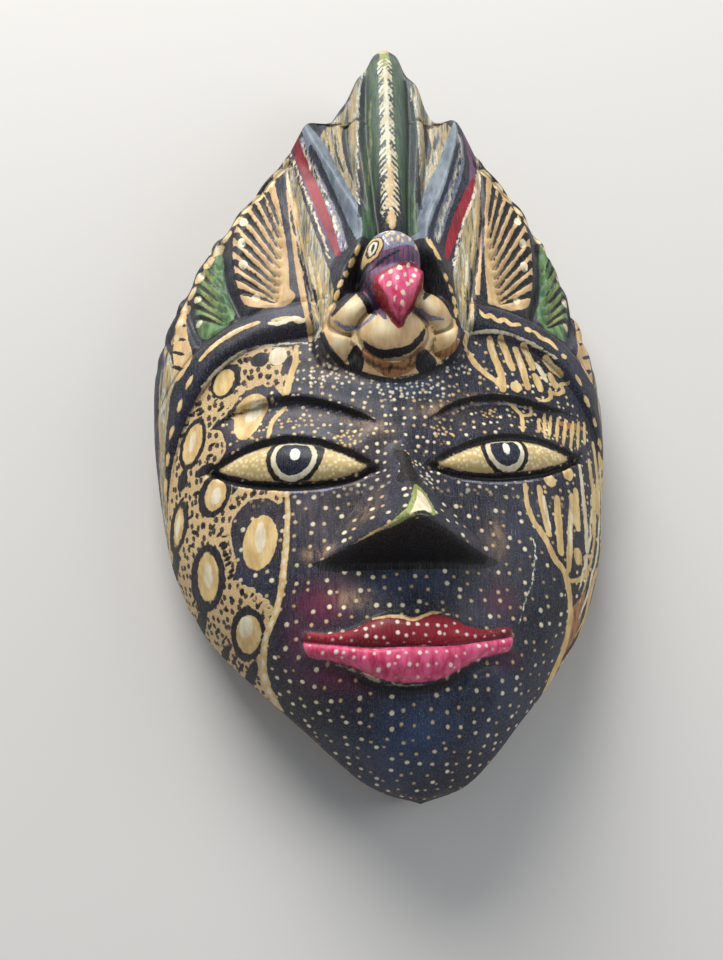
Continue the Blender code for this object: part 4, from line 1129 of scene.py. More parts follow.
# Painted reflection: the wings' upward facets are laid in a pale blue grey, the sky's sheen on them
for area in WING_FACETS:
    slate.patch(area)
for area in FEATHERED:
    feather.patch(area)
STRIPES = (((-22.1, 69.9), (-21.4, 64.8), (-19.5, 57.3), (-17.4, 49.7), (-15.6, 42.6), (-13.8, 35.9),
            (-12.4, 29.2)),
           ((24.6, 62), (24.2, 55.5), (21.3, 48.2), (18.6, 41.7), (16.2, 35), (14.4, 28.6)))
crimson.stroke(STRIPES[0], 2.6, 0.5)
crimson.stroke(STRIPES[1][1:], 2.6, 0.5)
plum.stroke(((22, 71.5), (23.6, 66.4), (24.6, 60), (23, 53)), 2.6, 0.5)
plum.stroke([(x - 1.5, y) for x, y in STRIPES[0]], 1.0, 0.5)
plum.oval(-20.8, 71.6, 1.5, 2.8, 20)
hole.stroke([(x + 1.5, y) for x, y in STRIPES[0][1:]], 0.4, 0.5)
hole.stroke([(x - 1.5, y) for x, y in STRIPES[1][1:]], 0.4, 0.5)
navy.stroke(((-18.3, 63), (-15.2, 54.2), (-12.9, 46.8), (-10.6, 38.4), (-9, 29.8)), 1.3, 0.3)
navy.stroke(((20.2, 64), (17.6, 54.6), (14.8, 46.6), (11.6, 38.4), (9.4, 31)), 0.9, 0.4)
ochre.stroke(((-20.9, 66.6), (-18.8, 60), (-16.6, 53)), 1.5)
HATCHES = (((-20.4, 66.2), (-18.6, 60.3), (-16.4, 52.8), (-14.3, 45.6), (-12.2, 37.8), (-11, 30.4)),
           ((20.8, 66.1), (20.6, 60.8), (19, 54), (16.4, 46.9), (13.9, 39.6), (11.8, 32.2)))
for side, line in zip((1, -1), HATCHES):
    dusk.stroke(line, 2.6, 0.3)
    cream.beads(line, 26, 1.3, 0.3, lean=-16 * side)
    spark.beads([(x - 0.5 * side, y + 0.8) for x, y in line[3:]], 12, 1.0, 0.24, lean=-20 * side)
    navy.beads([(x + 0.3 * side, y - 1.2) for x, y in line], 22, 1.1, 0.22, lean=-16 * side)
cream.beads(((-23.2, 65.5), (-22, 58.6), (-20.1, 50.6), (-18.2, 43.4), (-16.2, 35.9), (-14.4, 27.9)), 26,
            1.4, 0.28, lean=13)
cream.beads(((25.9, 60), (23.6, 50), (20.6, 42.4), (18, 34.6), (16, 27)), 20, 1.4, 0.27, lean=-13)
navy.beads(((-22.9, 62), (-21.2, 53.9), (-19.2, 45), (-17, 36), (-14.8, 27.6)), 24, 1.2, 0.25, lean=13)

# %% Long strokes on the wings' outer sides
LONG_STROKES = (((-24.2, 60), (-23.4, 48)), ((-22.6, 49), (-21.2, 37)), ((-21.4, 38.5), (-19.6, 27)),
                ((-19.6, 31), (-17.9, 19)), ((-17.5, 27), (-16.4, 14)), ((-19, 20), (-17.6, 9)),
                ((26, 61), (25, 49)), ((24.2, 50), (22.6, 38)), ((22.4, 38), (20.6, 26.5)),
                ((20, 30), (18.3, 18)), ((18.2, 24), (16.9, 12.5)), ((20.4, 19), (18.6, 10)))
for number, (start, end) in enumerate(LONG_STROKES):
    middle = ((start[0] + end[0]) / 2 + 0.25 * np.sign(start[0]), (start[1] + end[1]) / 2)
    (gold if number % 3 else cream).stroke((start, middle, end), 0.85, 0.9)
    shadow = [(x + 1.1 * np.sign(start[0]), y - 2.0) for x, y in (start, middle, end)]
    (navy if number % 2 else ink).stroke(shadow, 0.75, 0.9)
ochre.stroke(((-24, 52), (-22.8, 36), (-21.4, 20), (-19.6, 6.6)), 1.7, 0.2)
ochre.stroke(((25.2, 56), (23.8, 36), (21.8, 20)), 1.4, 0.2)

# %% The crest
FLANKS = (((-0.6, 97), (-2.6, 93), (-5.6, 86), (-8.8, 79), (-13.8, 71.5), (-15.7, 66), (-13.2, 58),
           (-10.2, 48), (-7, 37), (-5.8, 40), (-5.9, 50), (-6, 60), (-5.3, 72), (-4, 84), (-1.8, 92)),
          ((6, 96.4), (7.4, 93), (10, 87), (13.1, 80), (17.2, 73.5), (18.8, 68), (15.7, 58), (12.3, 48),
           (9.3, 38), (8.6, 40), (9.2, 57), (9.7, 70), (9.2, 80), (8, 88)))
for flank in FLANKS:
    feather.patch(flank)
SPINE = ((3, 97.6), (2.4, 91), (2.1, 82), (1.7, 72), (1.3, 62), (1, 53), (0.8, 45.2), (0.6, 36))
moss.stroke(((-0.3, 94.1), (-1.2, 84.4), (-2, 76.6), (-2.6, 68.4), (-3, 60.2), (-3.8, 51.6), (-4.5, 43.3),
             (-5, 31.1)), 4.2, 0.2)
moss.stroke(((5.2, 94.8), (5.9, 86.2), (5.6, 76), (5, 66), (4.6, 55.8), (5.3, 47.6), (6, 35)), 4.2, 0.2)
navy.stroke(((-2.6, 91.2), (-4, 81), (-4.7, 72.3), (-5.4, 62.9), (-5.8, 54.3), (-6.2, 47.2), (-7.1, 38)),
            1.9, 0.5)
navy.stroke(((8, 88.8), (9, 77.6), (9, 68.7), (8.6, 59.5), (8.5, 51.2), (8.6, 42)), 1.8, 0.5)
lime.stroke(SPINE, 3.2, 0.2)
cream.stroke(SPINE[1:6], 1.5, 0.5)
ochre.oval(2.9, 98.4, 1.6, 0.9)
ochre.stroke(((1.1, 56), (0.9, 46), (0.7, 34)), 2.8, 0.5)
for number, (x, y, heading) in enumerate(along(SPINE, 30, 0.05, 0.98)):
    slip = brush_hand.normal(0, 0.2, 3)
    wide = 1.9 + 0.5 * (y < 60)
    (spark if number % 4 == 2 else cream).stroke(((x + 0.1, y + 1.6 + slip[0]), (x - wide * 0.6, y),
                                                  (x - wide, y - 1.8)), 0.75, 0.9)
    cream.stroke(((x + 0.1, y + 1.4 + slip[1]), (x + wide * 0.6, y - 0.2), (x + wide, y - 2.0)), 0.75, 0.9)
    if number % 3:
        navy.stroke(((x - 0.3, y + 0.2), (x - wide * 0.7, y - 1.4 + slip[2]), (x - wide - 0.7, y - 3.2)),
                    0.8, 0.9)
        navy.stroke(((x + 0.4, y), (x + wide * 0.7, y - 1.6 + slip[2]), (x + wide + 0.8, y - 3.4)), 0.75, 0.9)
spark.beads(((-3, 92.2), (-4.7, 82.5), (-5.5, 72.1), (-6.2, 62.3), (-6.6, 53.5), (-6.9, 42.9)), 24, 1.5, 0.2,
            lean=10)
spark.beads(((9.2, 86), (10.2, 76), (10.2, 66), (9.9, 54)), 14, 1.3, 0.16, lean=-10)
lime.beads(((-1.8, 80), (-2.6, 70), (-3.2, 60), (-3.9, 50)), 9, 2.0, 0.3, lean=4)
for line, width in ((((-7.8, 79), (-8.9, 69), (-8.6, 60), (-7.6, 53)), 1.8),
                    (((12.2, 75), (12.7, 66), (11.8, 58)), 1.6),
                    (((-11.6, 70), (-11.4, 62), (-9.8, 54)), 0.8), (((15, 70), (14, 62)), 0.8)):
    navy.stroke(line, width, 0.8)
for line in (((-10.2, 77), (-10.3, 67), (-9.2, 57)), ((-6.4, 84), (-6.9, 72), (-7, 60)),
             ((-13.2, 70), (-12.6, 62)), ((11, 81), (11.2, 69), (10.6, 57)), ((14, 75), (13.6, 66))):
    ochre.stroke(line, 0.7, 0.9)
print((cream.edge < 0).sum(), "points under cream")

# %% [markdown]
# ## The bird's head and its lobes
# The head is the busiest spot: pale ticks on top, an almond eye, a blue and purple brow, and a
# crimson beak with cream spots. Black strokes down the beak's sides are painted shadow. The lobes
# under it are ochre with painted highlights on their middles, and a dark arc under the boss is
# painted shadow.

# %% The recess and the head
ink.patch(((-5, 32), (-8.2, 30.5), (-11.6, 24), (-14.2, 16), (-14.6, 9.5), (-9, 15), (-6.5, 19), (-5.6, 25)))
ink.patch(((5.6, 32), (8.8, 31), (12.8, 25), (15.2, 17), (15, 9.5), (10.5, 15), (7.2, 19), (6.2, 25)))
gold.beads(((-7.6, 29), (-9.2, 24.9), (-11.1, 21.5), (-13, 16.9), (-14.8, 11.2)), 6, 1.35, 0.6)
gold.beads(((12.6, 21.6), (13.8, 18.2), (15, 14), (15.2, 10.2)), 4, 1.3, 0.55)
gold.stroke(((9.2, 31), (10.4, 28.6), (11.8, 25.6)), 1.5)
dusk.oval(-0.1, 24.2, 6.8, 6.8)
plum.patch(((-7.4, 21.5), (-6.6, 23), (-3.4, 22.4), (-0.6, 22.6), (1.8, 23.6), (4.6, 24.4), (7.2, 23),
            (7.4, 19.6), (4.4, 20.4), (0.2, 18.6), (-2.5, 17.4), (-6.6, 15.8)))
navy.stroke(((-6.4, 18), (-4.2, 19.6), (-1.4, 21), (2, 22.6)), 0.9, 0.8)
ink.oval(-5.1, 24.2, 2.6, 3.6, -14)
gold.oval(-5.1, 24.2, 2.2, 3.2, -14)
hole.oval(-5.1, 24.2, 1.4, 2.4, -14)
cream.oval(-5.1, 24.2, 1, 1.9, -14)
navy.oval(-5, 24.2, 0.45, 1.1, -14)
for x, y, half in ((-1.6, 27, 1.1), (0, 28.2, 1.4), (0.9, 25.9, 1.2), (2.4, 27.8, 1.5), (3.9, 26.6, 1.4),
                   (5.4, 25, 1.3), (-0.6, 25.2, 0.8), (2, 25, 0.8)):
    gold.oval(x, y, 0.42, half, -12)
spark.beads(((-3.2, 28.4), (-0.4, 29.9), (2.6, 29.5), (5, 27.8)), 13, 0.9, 0.2, lean=88)
spark.stroke(((-2.8, 27.6), (-2.2, 25), (-1.4, 23.2)), 0.5, 0.8)
spark.stroke(((-1.4, 29.4), (-0.8, 27.4)), 0.45, 0.8)
BEAK = ((-5.2, 16.2), (-3.2, 17.4), (-0.8, 18.1), (3.3, 20), (6.2, 20.3), (7, 18.6), (6.3, 15.3), (4.6, 11.3),
        (2.6, 7.3), (0.4, 4), (-1.9, 7), (-3.5, 10.4), (-5, 13.9))
plum.patch(((-8, 17.6), (-6.6, 12.6), (-4.2, 8.4), (-2.4, 6.4), (-2.6, 10.4), (-4.4, 14), (-4.6, 17.6)))
crimson.patch(BEAK)
rose.patch([(0.84 * x + 0.2, 0.84 * y + 2.2) for x, y in BEAK])
BEAK_SPOTS = ((-3.3, 15.6), (-1.4, 16.6), (0.8, 17.6), (3, 18.9), (5, 18.6), (4.2, 16.2), (2, 15.8),
              (0, 14.6), (-2, 13.2), (-0.4, 11.6), (2.4, 13.2), (1.2, 10.6), (-0.9, 9.2), (0.8, 8),
              (3.4, 14.4))
for number, (x, y) in enumerate(BEAK_SPOTS):
    cream.oval(x, y, 0.42 + 0.12 * (number % 3), 0.85, -18)
# Painted shadow: black strokes down the beak's sides, where its walls fall in shade
for shadow in (((-9.2, 21.4), (-8.4, 16.4), (-6.6, 11.8), (-4.4, 8.2)),
               ((9.4, 20.4), (8.7, 16.6), (7, 12.8))):
    hole.stroke(shadow, 1.7, 0.6)
print(len(BEAK_SPOTS), "spots on the beak")

# %% The lobes
boss_edge = Paint()
boss_edge.oval(-0.8, 7.6, 16, 12.6)
ochre.lay(np.arange(painted_count), boss_edge.edge)
umber.stroke(((-7.2, 0.4), (-3.8, -2.7), (-0.7, -3.8), (2.9, -2.6), (5.9, 0.2)), 2.6, 0.1)
hole.patch(((-11.4, 0.2), (-9.6, 2.4), (-8.4, 1), (-7.4, -1.6), (-8.4, -3.8), (-10.6, -2.8)))
hole.patch(((4.6, -0.4), (6.8, 0.8), (8.4, 0.6), (9.6, -1.6), (7.6, -4.2), (4.8, -3.6)))
hole.stroke(((-8.3, 3.2), (-5.7, 0.2), (-2.3, -1), (2.5, -0.1), (5.6, 2.8), (7.4, 7)), 1.5, 0.75)
lime.oval(-1.6, -2.8, 1.5, 1.4)
umber.stroke(((-14, 11.4), (-11.6, 14.6), (-8.2, 16.2)), 1.7)
umber.stroke(((9.8, 16.2), (12.6, 14.4), (14.4, 11.2)), 1.9)
umber.stroke(((9.6, 0.6), (12.6, 0.8), (15.2, 3.4)), 1.5)
dusk.stroke(((-14.4, 8.5), (-12.1, 6.5), (-8.4, 6.5), (-5.6, 7.9), (-4.2, 11)), 1.0)
dusk.stroke(((4.3, 11.3), (5.8, 10.2), (7.9, 8.4), (11.5, 8)), 1.1)
# Painted shadow: a dark arc along the boss's lower edge, where it overhangs the forehead
ink.stroke(((-17.4, 7), (-15.8, 1.6), (-11.6, -2), (-6, -4.8), (0, -6), (5.4, -4.8), (10.6, -2.2),
            (14.8, 1.2),
            (16.4, 6.6)), 1.3)
print((ochre.edge < 0).sum(), "points under ochre")

# %% [markdown]
# ## Soft stains, wear and painted sheen
# Under the pattern the black isn't even: it is browner where the wood shines through, purple by
# the mouth, and rubbed to a tan where the mask is handled. A painted bluish sheen lies on the
# chin and below the boss, and painted highlights lie on the boss's lobes. These have no edge, so
# they are kept as shares from 0 to 1 that fade out smoothly.

# %% The stains and the painted sheens
def stain_and_sheen(places):
    """A soft share from several ovals: middle, half sizes, turn and strength."""
    share = np.zeros(painted_count)
    for x, y, half_x, half_y, turn, strength in places:
        share = np.maximum(share, strength * np.exp(-1.3 * oval(spot_x, spot_y, x, y, half_x, half_y,
                                                                turn) ** 2))
    return share


stains_and_sheens = {
    "brown_stain": stain_and_sheen(((-12, 1, 13, 8, 0, 0.8), (-20, -38, 7, 12, 0, 0.9), (-9, -28, 8, 10, -10, 0.75),
                          (-34, -12, 8, 12, 0, 0.8), (-32, -38, 8, 9, 0, 0.6), (16, -30, 12, 10, 0, 0.2),
                          (-14, -57, 8, 5, 0, 0.7), (18, -47, 6, 6, 0, 0.55), (-22, -12, 12, 4, 0, 0.5),
                          (-30, 12, 12, 6, 0, 0.4), (12, -60, 6, 5, 0, 0.3))),
    "rubbed": stain_and_sheen(((-18.6, -47.2, 2.8, 1.6, 10, 0.9), (-13, -58.5, 4.5, 2, -12, 0.6),
                     (-21.6, -47.6, 1.7, 1.4, 0, 0.8), (-5, -18.6, 3.6, 2.2, 0, 0.6),
                     (-10, -15.5, 6, 1.8, -20, 0.6), (10.2, -13, 6.5, 2, 18, 0.75),
                     (18.5, -9.6, 6.5, 1.4, 8, 0.55), (21, -44, 2, 4.5, 0, 0.6), (-9.5, -40, 5, 3, 50, 0.35),
                     (-4, -4.8, 9, 1.6, 0, 0.35), (-14, -2.6, 4, 2.4, 0, 0.35),
                     (-6.8, -47.8, 2.6, 0.8, 20, 0.5))),
    "purple_stain": stain_and_sheen(((-19.5, -59, 6.5, 5, 0, 1), (20.8, -59, 4.6, 4.6, 0, 0.5),
                           (-17, -74, 9, 3.6, -15, 0.7), (-24.5, -66, 4, 7, 0, 0.6),
                           (21, -71, 5, 3, 0, 0.5))),
    "gilded": stain_and_sheen(((-33.2, -16.4, 3.6, 3, 0, 1), (-11.8, -20.4, 5.2, 3.2, 0, 1),
                     (-23.5, -14.8, 6, 2, 0, 0.9), (10, -19.6, 3.6, 4.2, 0, 0.9),
                     (22.5, -13.2, 6, 2, 0, 0.9), (0.6, -29, 2.6, 5, 0, 0.8))),
    "sprinkled": stain_and_sheen(((-16.5, -3.6, 11, 4, 0, 1), (3, -8, 13, 4, 0, 1), (5.2, -31, 2.6, 8, 0, 0.8),
                        (13, -1.6, 8, 3, 0, 0.8))),
    "haze": stain_and_sheen(((2, 74, 19, 33, 0, 1),)),
    # Painted highlights: pale cream on the boss's lobes, where they face the light
    "glow": stain_and_sheen(((-9.4, 11.2, 4, 2.6, 38, 1), (-2.8, 5, 3.2, 3.4, 0, 0.9), (7.4, 11.8, 3.6, 1.8, -42, 1),
                   (-13.3, 3.2, 1.6, 2.4, 0, 1), (12.2, 6.2, 1.9, 2.8, 15, 1), (-9, 2, 1.8, 1.6, 0, 0.5),
                   (3.4, 6.4, 2.4, 2, 0, 0.5))),
    # Painted sheen: bluish reflections on the chin, below the boss, under the nose, on the band and beside
    # the mouth
    "blue_stain": stain_and_sheen(((2, -88, 15, 8, 0, 0.8), (-0.5, -7.4, 10, 2.4, 0, 0.9), (8, -80, 10, 5, 0, 0.4),
                         (0, -56, 12, 3.5, 0, 0.5), (-26, 14, 10, 4, 0, 0.4), (20, -70, 8, 14, 0, 0.35))),
}

# %% Ridges and hollows of the carving
reach = 0.7
ring_height = sum(carved_height(spot_x + dx, spot_y + dy) for dx,
                  dy in ((reach, 0), (-reach, 0), (0, reach), (0, -reach)))
bend = (4 * carved_height(spot_x, spot_y) - ring_height) / reach ** 2
bend = np.clip(bend * ease(0.5, 4.0, edge_distance(spot_x, spot_y)), -3, 3)
print("the carving bends from", round(float(bend.min()), 2), "to", round(float(bend.max()), 2),
      "per millimetre")

# %% How far the face lies inside the band
distance, side, _ = to_curve(np.abs(spot_x), spot_y, BAND)
face = -distance * side
face[spot_y < -44] = np.maximum(face[spot_y < -44], 4.0)
ring_paint = np.repeat([3.0, 2.2, 1.3, 0.5, -0.2, -1.0, -1.8], len(edge_line[0]))
painted = np.concatenate([np.full(front_points, 4.0), ring_paint])

# %% The sides of the block
# The front's paint ends over the edge, and one row of gold dashes runs along the foot
DASHES, HALF_DASH, FADE = 96, 0.9, 0.6
around = len(edge_line[0])
turn = np.argsort(np.arctan2(edge_line[1], edge_line[0]))
gaps = np.hypot(*(np.diff(line[turn], append=line[turn[:1]]) for line in edge_line))
run = np.empty(around)
run[turn] = np.cumsum(gaps)
pitch = gaps.sum() / DASHES
dashes = np.abs((run / pitch) % 1 - 0.5) * pitch - HALF_DASH
for ring in range(2, 7):
    strip = slice(front_points + ring * around, front_points + (ring + 1) * around)
    for paint in paints.values():
        paint.edge[strip] = np.maximum(paint.edge[strip], FADE * (ring - 1))
    if ring > 2:
        gold.edge[strip] = dashes + 0.5 * (ring == 5)
print(around, "points in each ring of the sides, with dashes every", round(pitch, 1), "mm")

# %% Where dots go on the steep sides
# Dots are laid on a flat sheet, so on a steep side they would turn into streaks. Near the edge
# the sheet is therefore let out by as much as the surface falls.
DOT_REACH = 12.0
along_share = spot_y / HALF_LENGTH
across_share = (spot_x - profile(MIDDLE_LINE, spot_y)) / np.maximum(half_width(spot_y), 0.5)
out_share = np.hypot(np.clip(across_share, -1, 1) * np.sqrt(np.maximum(1 - along_share ** 2, 0)), along_share)
from_middle = np.maximum(np.hypot(spot_x, spot_y), 1.0)
inset = from_middle * (1 / np.clip(out_share, 0.05, 1.0) - 1)
back = np.clip(DOT_REACH - inset, 0.0, DOT_REACH)
inward = 1 - back / from_middle
own_height = body_height(spot_x, spot_y)
own_height[front_points:] = sheet_z[front_points:painted_count]
fall = np.maximum(body_height(spot_x * inward, spot_y * inward) - own_height, 0)
let_out = 1 + (np.hypot(back, fall) - back) / from_middle
print("the sheet of dots is let out by up to", round(float((np.hypot(back, fall) - back).max()), 1), "mm")

# %% The numbers on the mesh
def keep(name, values, elsewhere):
    """Store one number for each point of the mesh, with a plain one where no paint goes."""
    whole = np.full(len(carving.vertices), elsewhere, dtype=np.float32)
    whole[:painted_count] = values
    carving.attributes.new(name, "FLOAT", "POINT").data.foreach_set("value", whole)


for name, paint in paints.items():
    keep(name, paint.edge, FAR)
for name, share in stains_and_sheens.items():
    keep(name, share, 0.0)
keep("bend", bend, 0.0)
keep("dots_x", spot_x * let_out, 0.0)
keep("dots_y", spot_y * let_out, 0.0)
keep("face", face, -FAR)
keep("lips", lips, FAR)
keep("almond", almond, FAR)
keep("painted", painted, -4.0)
print(len(carving.attributes), "attributes on the mesh")

# %% [markdown]
# ## The finish
# One material finishes the whole block, because the real paint is one skin too. Shader maths is
# written as plain expressions through a small class, so a mask reads like a sum. The pattern's
# edges come from the numbers on the mesh, and everything finer comes from noise: wobbling
# edges, dots, streaks of the brush, scratches and the wood's grain.

# %% Words for the shader
class Wire:
    """A value in the shader, on which sums can be written."""

    def __init__(self, finish, socket):
        self.finish, self.socket = finish, socket

    def math(self, how, *others, clamp=False):
        settings = {"operation": how, "use_clamp": clamp}
        return self.finish.add("ShaderNodeMath", settings, dict(enumerate((self,) + others)))

    def __add__(self, other):
        return self.math("ADD", other)

    def __sub__(self, other):
        return self.math("SUBTRACT", other)

    def __rsub__(self, other):
        return (self * -1) + other

    def __mul__(self, other):
        return self.math("MULTIPLY", other)

    def __truediv__(self, other):
        return self.math("DIVIDE", other)

    __radd__, __rmul__ = __add__, __mul__

    def over(self, start, full):
        """0 at start and 1 at full, eased, in either direction."""
        way = self.finish.add("ShaderNodeMapRange", {"interpolation_type": "SMOOTHSTEP"},
                              {"Value": self, "From Min": min(start, full), "From Max": max(start, full)})
        return way if start < full else 1 - way


class Finish:
    """A material, and the one way that nodes are added to it."""

    def __init__(self, name):
        self.material = bpy.data.materials.new(name)
        self.material.use_nodes = True
        self.tree = self.material.node_tree
        self.shader = self.tree.nodes["Principled BSDF"]

    def put(self, node, sockets):
        for key, value in sockets.items():
            socket = node.inputs[key]
            if isinstance(value, Wire):
                self.tree.links.new(value.socket, socket)
            else:
                socket.default_value = value

    def add(self, kind, settings, sockets, out=0):
        """Add a node: its settings first, then its sockets."""
        node = self.tree.nodes.new(kind)
        for name, value in settings.items():
            if name == "stops":
                ramp = node.color_ramp
                while len(ramp.elements) < len(value):
                    ramp.elements.new(1.0)
                for element, (place, shade) in zip(ramp.elements, value):
                    element.position, element.color = place, shade
            else:
                setattr(node, name, value)
        self.put(node, sockets)
        return Wire(self, node.outputs[out])

    def number(self, name):
        """A number kept on the mesh."""
        return self.add("ShaderNodeAttribute", {"attribute_name": name}, {}, "Fac")

    def mix(self, share, first, second):
        return self.add("ShaderNodeMix", {"data_type": "RGBA"}, {0: share, 6: first, 7: second}, 2)

    def noise(self, place, scale, detail=2.0, roughness=0.5, out="Fac", kind="3D"):
        return self.add("ShaderNodeTexNoise", {"noise_dimensions": kind},
                        {"Vector": place, "Scale": scale, "Detail": detail, "Roughness": roughness}, out)

    def stretched(self, place, x, y, z):
        return self.add("ShaderNodeVectorMath", {"operation": "MULTIPLY"}, {0: place, 1: (x, y, z)})


def shade(red, green, blue):
    """A colour from the 0 to 255 of a paint chart, in the linear numbers that the shader takes."""
    parts = np.array([red, green, blue]) / 255
    return tuple(float(n) for n in np.where(parts <= 0.04045, parts / 12.92,
                                            ((parts + 0.055) / 1.055) ** 2.4)) + (1.0,)


coat = Finish("painted_wood")
metres = coat.add("ShaderNodeTexCoord", {}, {}, "Object")
place = coat.add("ShaderNodeVectorMath", {"operation": "SCALE"}, {0: metres, "Scale": 1 / METRES})
flat = coat.add("ShaderNodeCombineXYZ", {}, {0: coat.number("dots_x"), 1: coat.number("dots_y")})
print("the shader works in millimetres")

# %% Noises that many colours share
wobble = (coat.noise(place, 0.9, 2.0) - 0.5) * 0.55 + (coat.noise(place, 0.28, 1.0) - 0.5) * 0.45
cloud = coat.noise(place, 0.07, 4.0, 0.6)
grain = coat.noise(coat.stretched(place, 1.6, 0.10, 0.7), 1.0, 3.0, 0.6)
fine_grain = coat.noise(coat.stretched(place, 6.0, 0.22, 2.0), 1.0, 2.0, 0.6)
speck = coat.noise(place, 2.6, 2.0, 0.6)
grit = coat.noise(place, 2.9, 3.0, 0.75)
smear = coat.noise(coat.stretched(place, 0.55, 0.16, 0.4), 1.0, 3.0, 0.6)

# %% [markdown]
# ## The ground and its dots
# The ground is a thin black over wood, so it is clouded with brown. The dots were set by hand in
# loose rows, which a Voronoi pattern with little randomness gives: a cell for each dot.

# %% The ground
ground = coat.mix(cloud.over(0.40, 0.72), shade(10, 14, 28), shade(36, 40, 58))
# Painted sheen: soft bluish reflections are laid into the ground
ground = coat.mix(coat.number("blue_stain") * cloud.over(0.25, 0.6), ground, shade(40, 66, 104))
ground = coat.mix(coat.number("brown_stain") * (smear.over(0.2, 0.75) * 0.75 + 0.1), ground,
                  shade(88, 74, 74))
ground = coat.mix(grit.over(0.52, 0.66) * 0.7, ground, shade(88, 98, 122))
ground = coat.mix(coat.number("purple_stain") * (0.5 + 0.5 * speck.over(0.3, 0.6)), ground,
                  shade(100, 12, 58))
rubbed = coat.number("rubbed") * (smear + grit * 0.6).over(0.58, 1) * 0.8
ground = coat.mix(rubbed, ground, shade(205, 168, 128))
scratches = fine_grain.over(0.70, 0.74) * cloud.over(0.45, 0.60)
ground = coat.mix(scratches * 0.5, ground, shade(186, 168, 150))


# %% The dots
def dotted(spacing, radius, randomness):
    """Dots about a spacing apart, each with its own size; also a number for each dot."""
    settings = {"voronoi_dimensions": "2D", "feature": "F1"}
    sockets = {"Vector": coat.stretched(flat, 1.0, 1.0, 1.0), "Scale": 1 / spacing, "Randomness": randomness}
    cell = coat.add("ShaderNodeTexVoronoi", settings, sockets, "Distance")
    tint = coat.add("ShaderNodeTexVoronoi", settings, sockets, "Color")
    lot = coat.add("ShaderNodeSeparateColor", {}, {0: tint}, 0)
    size = (lot * 0.55 + 0.7) * radius
    gap = cell * spacing + (speck - 0.5) * 0.35
    return ((size - gap) * 3.2 + 0.5).math("MAXIMUM", 0.0).math("MINIMUM", 1.0), lot


heights = coat.add("ShaderNodeSeparateXYZ", {}, {0: place}, 1)
brow_half = heights.over(-36, -31)
wide_dots, wide_lot = dotted(3.2, 0.42, 0.72)
close_dots, close_lot = dotted(2.35, 0.35, 0.72)
dots = (wide_dots * (1 - brow_half)).math("MAXIMUM", close_dots * brow_half)
on_face = coat.number("face").over(1.2, 1.8)
dot_shade = coat.mix(wide_lot.over(0.2, 0.9), shade(204, 172, 118), shade(240, 228, 192))
dots = dots * on_face * (0.7 + 0.3 * close_lot)
fine_dots, fine_lot = dotted(1.4, 0.30, 0.95)
gilded = fine_dots * (coat.number("gilded") + fine_lot * 0.3).over(0.55, 0.75) * on_face
sprinkled = fine_dots * (coat.number("sprinkled") + fine_lot * 0.4).over(0.62, 0.85) * on_face
colour = coat.mix(dots, ground, dot_shade)
colour = coat.mix(gilded, colour, shade(206, 168, 98))
colour = coat.mix(sprinkled * 0.85, colour, shade(232, 224, 198))
raised = dots.math("MAXIMUM", gilded.math("MAXIMUM", sprinkled)) * 0.7

# %% [markdown]
# ## The feathers' streaks and the pattern's colours
# Feathered areas were striped with a dry brush in many colours. A noise stretched along the
# feathers and read through a ramp gives such streaks, where a plain blend would look sprayed.

# %% Streaks of a dry brush
leaning = coat.add("ShaderNodeMapping", {"vector_type": "POINT"}, {"Vector": place, "Rotation": (0, 0, 0.06)})
streak = coat.noise(coat.stretched(leaning, 1.25, 0.085, 0.35), 1.0, 3.0, 0.62)
feather_shade = coat.add("ShaderNodeValToRGB", {"stops": (
    (0.30, shade(36, 42, 54)), (0.38, shade(88, 96, 104)), (0.44, shade(132, 126, 96)),
                                                          (0.50, shade(188, 160, 104)),
    (0.55, shade(118, 118, 108)), (0.60, shade(212, 204, 178)), (0.66, shade(96, 110, 134)),
    (0.74, shade(60, 62, 70)))}, {0: streak})
flank_shade = coat.add("ShaderNodeValToRGB", {"stops": (
    (0.34, shade(66, 50, 42)), (0.44, shade(134, 92, 54)), (0.52, shade(168, 112, 64)),
                                                        (0.60, shade(146, 104, 68)),
    (0.70, shade(184, 138, 88)))}, {0: streak})


def varied(first, second, by, start=0.3, full=0.7):
    return coat.mix(by.over(start, full), shade(*first), shade(*second))


COLOURS = (
    # The pale blue grey of the wings' upward facets is a painted reflection of the sky
    ("feather", feather_shade, 0.2), ("slate", varied((78, 92, 108), (128, 138, 150), smear), 0.2),
    ("moss", varied((22, 50, 42), (62, 98, 62), grain), 0.3), ("leaf",
                                                               varied((44, 86, 52), (104, 140, 84), smear),
                                                               0.3),
    ("lime", varied((104, 118, 62), (160, 166, 96), speck), 0.4),
           ("ochre", varied((184, 148, 102), (210, 180, 130), smear), 0.5),
    ("umber", flank_shade, 0.4),
    ("dusk", varied((70, 74, 96), (150, 152, 176), grit), 0.4),
           ("plum", varied((66, 52, 84), (122, 70, 104), streak, 0.4, 0.6), 0.3),
    ("crimson", varied((104, 0, 22), (154, 10, 42), cloud), 0.4),
           ("rose", varied((182, 30, 78), (230, 100, 144), smear), 0.4),
    ("net", varied((186, 154, 106), (214, 186, 138), speck), 0.6),
           ("ink", varied((10, 11, 20), (32, 33, 44), cloud), 0.6),
    ("gold", varied((194, 158, 98), (224, 196, 138), smear), 0.9),
           ("hole", varied((3, 3, 8), (12, 12, 20), speck), 0.4),
    ("cream", varied((204, 188, 148), (230, 222, 198), smear), 1.2),
           ("navy", varied((6, 9, 24), (66, 84, 122), grit, 0.5, 0.72), 0.8),
    ("spark", varied((214, 214, 196), (242, 242, 228), speck), 1.3))
print(len(COLOURS), "colours of paint")

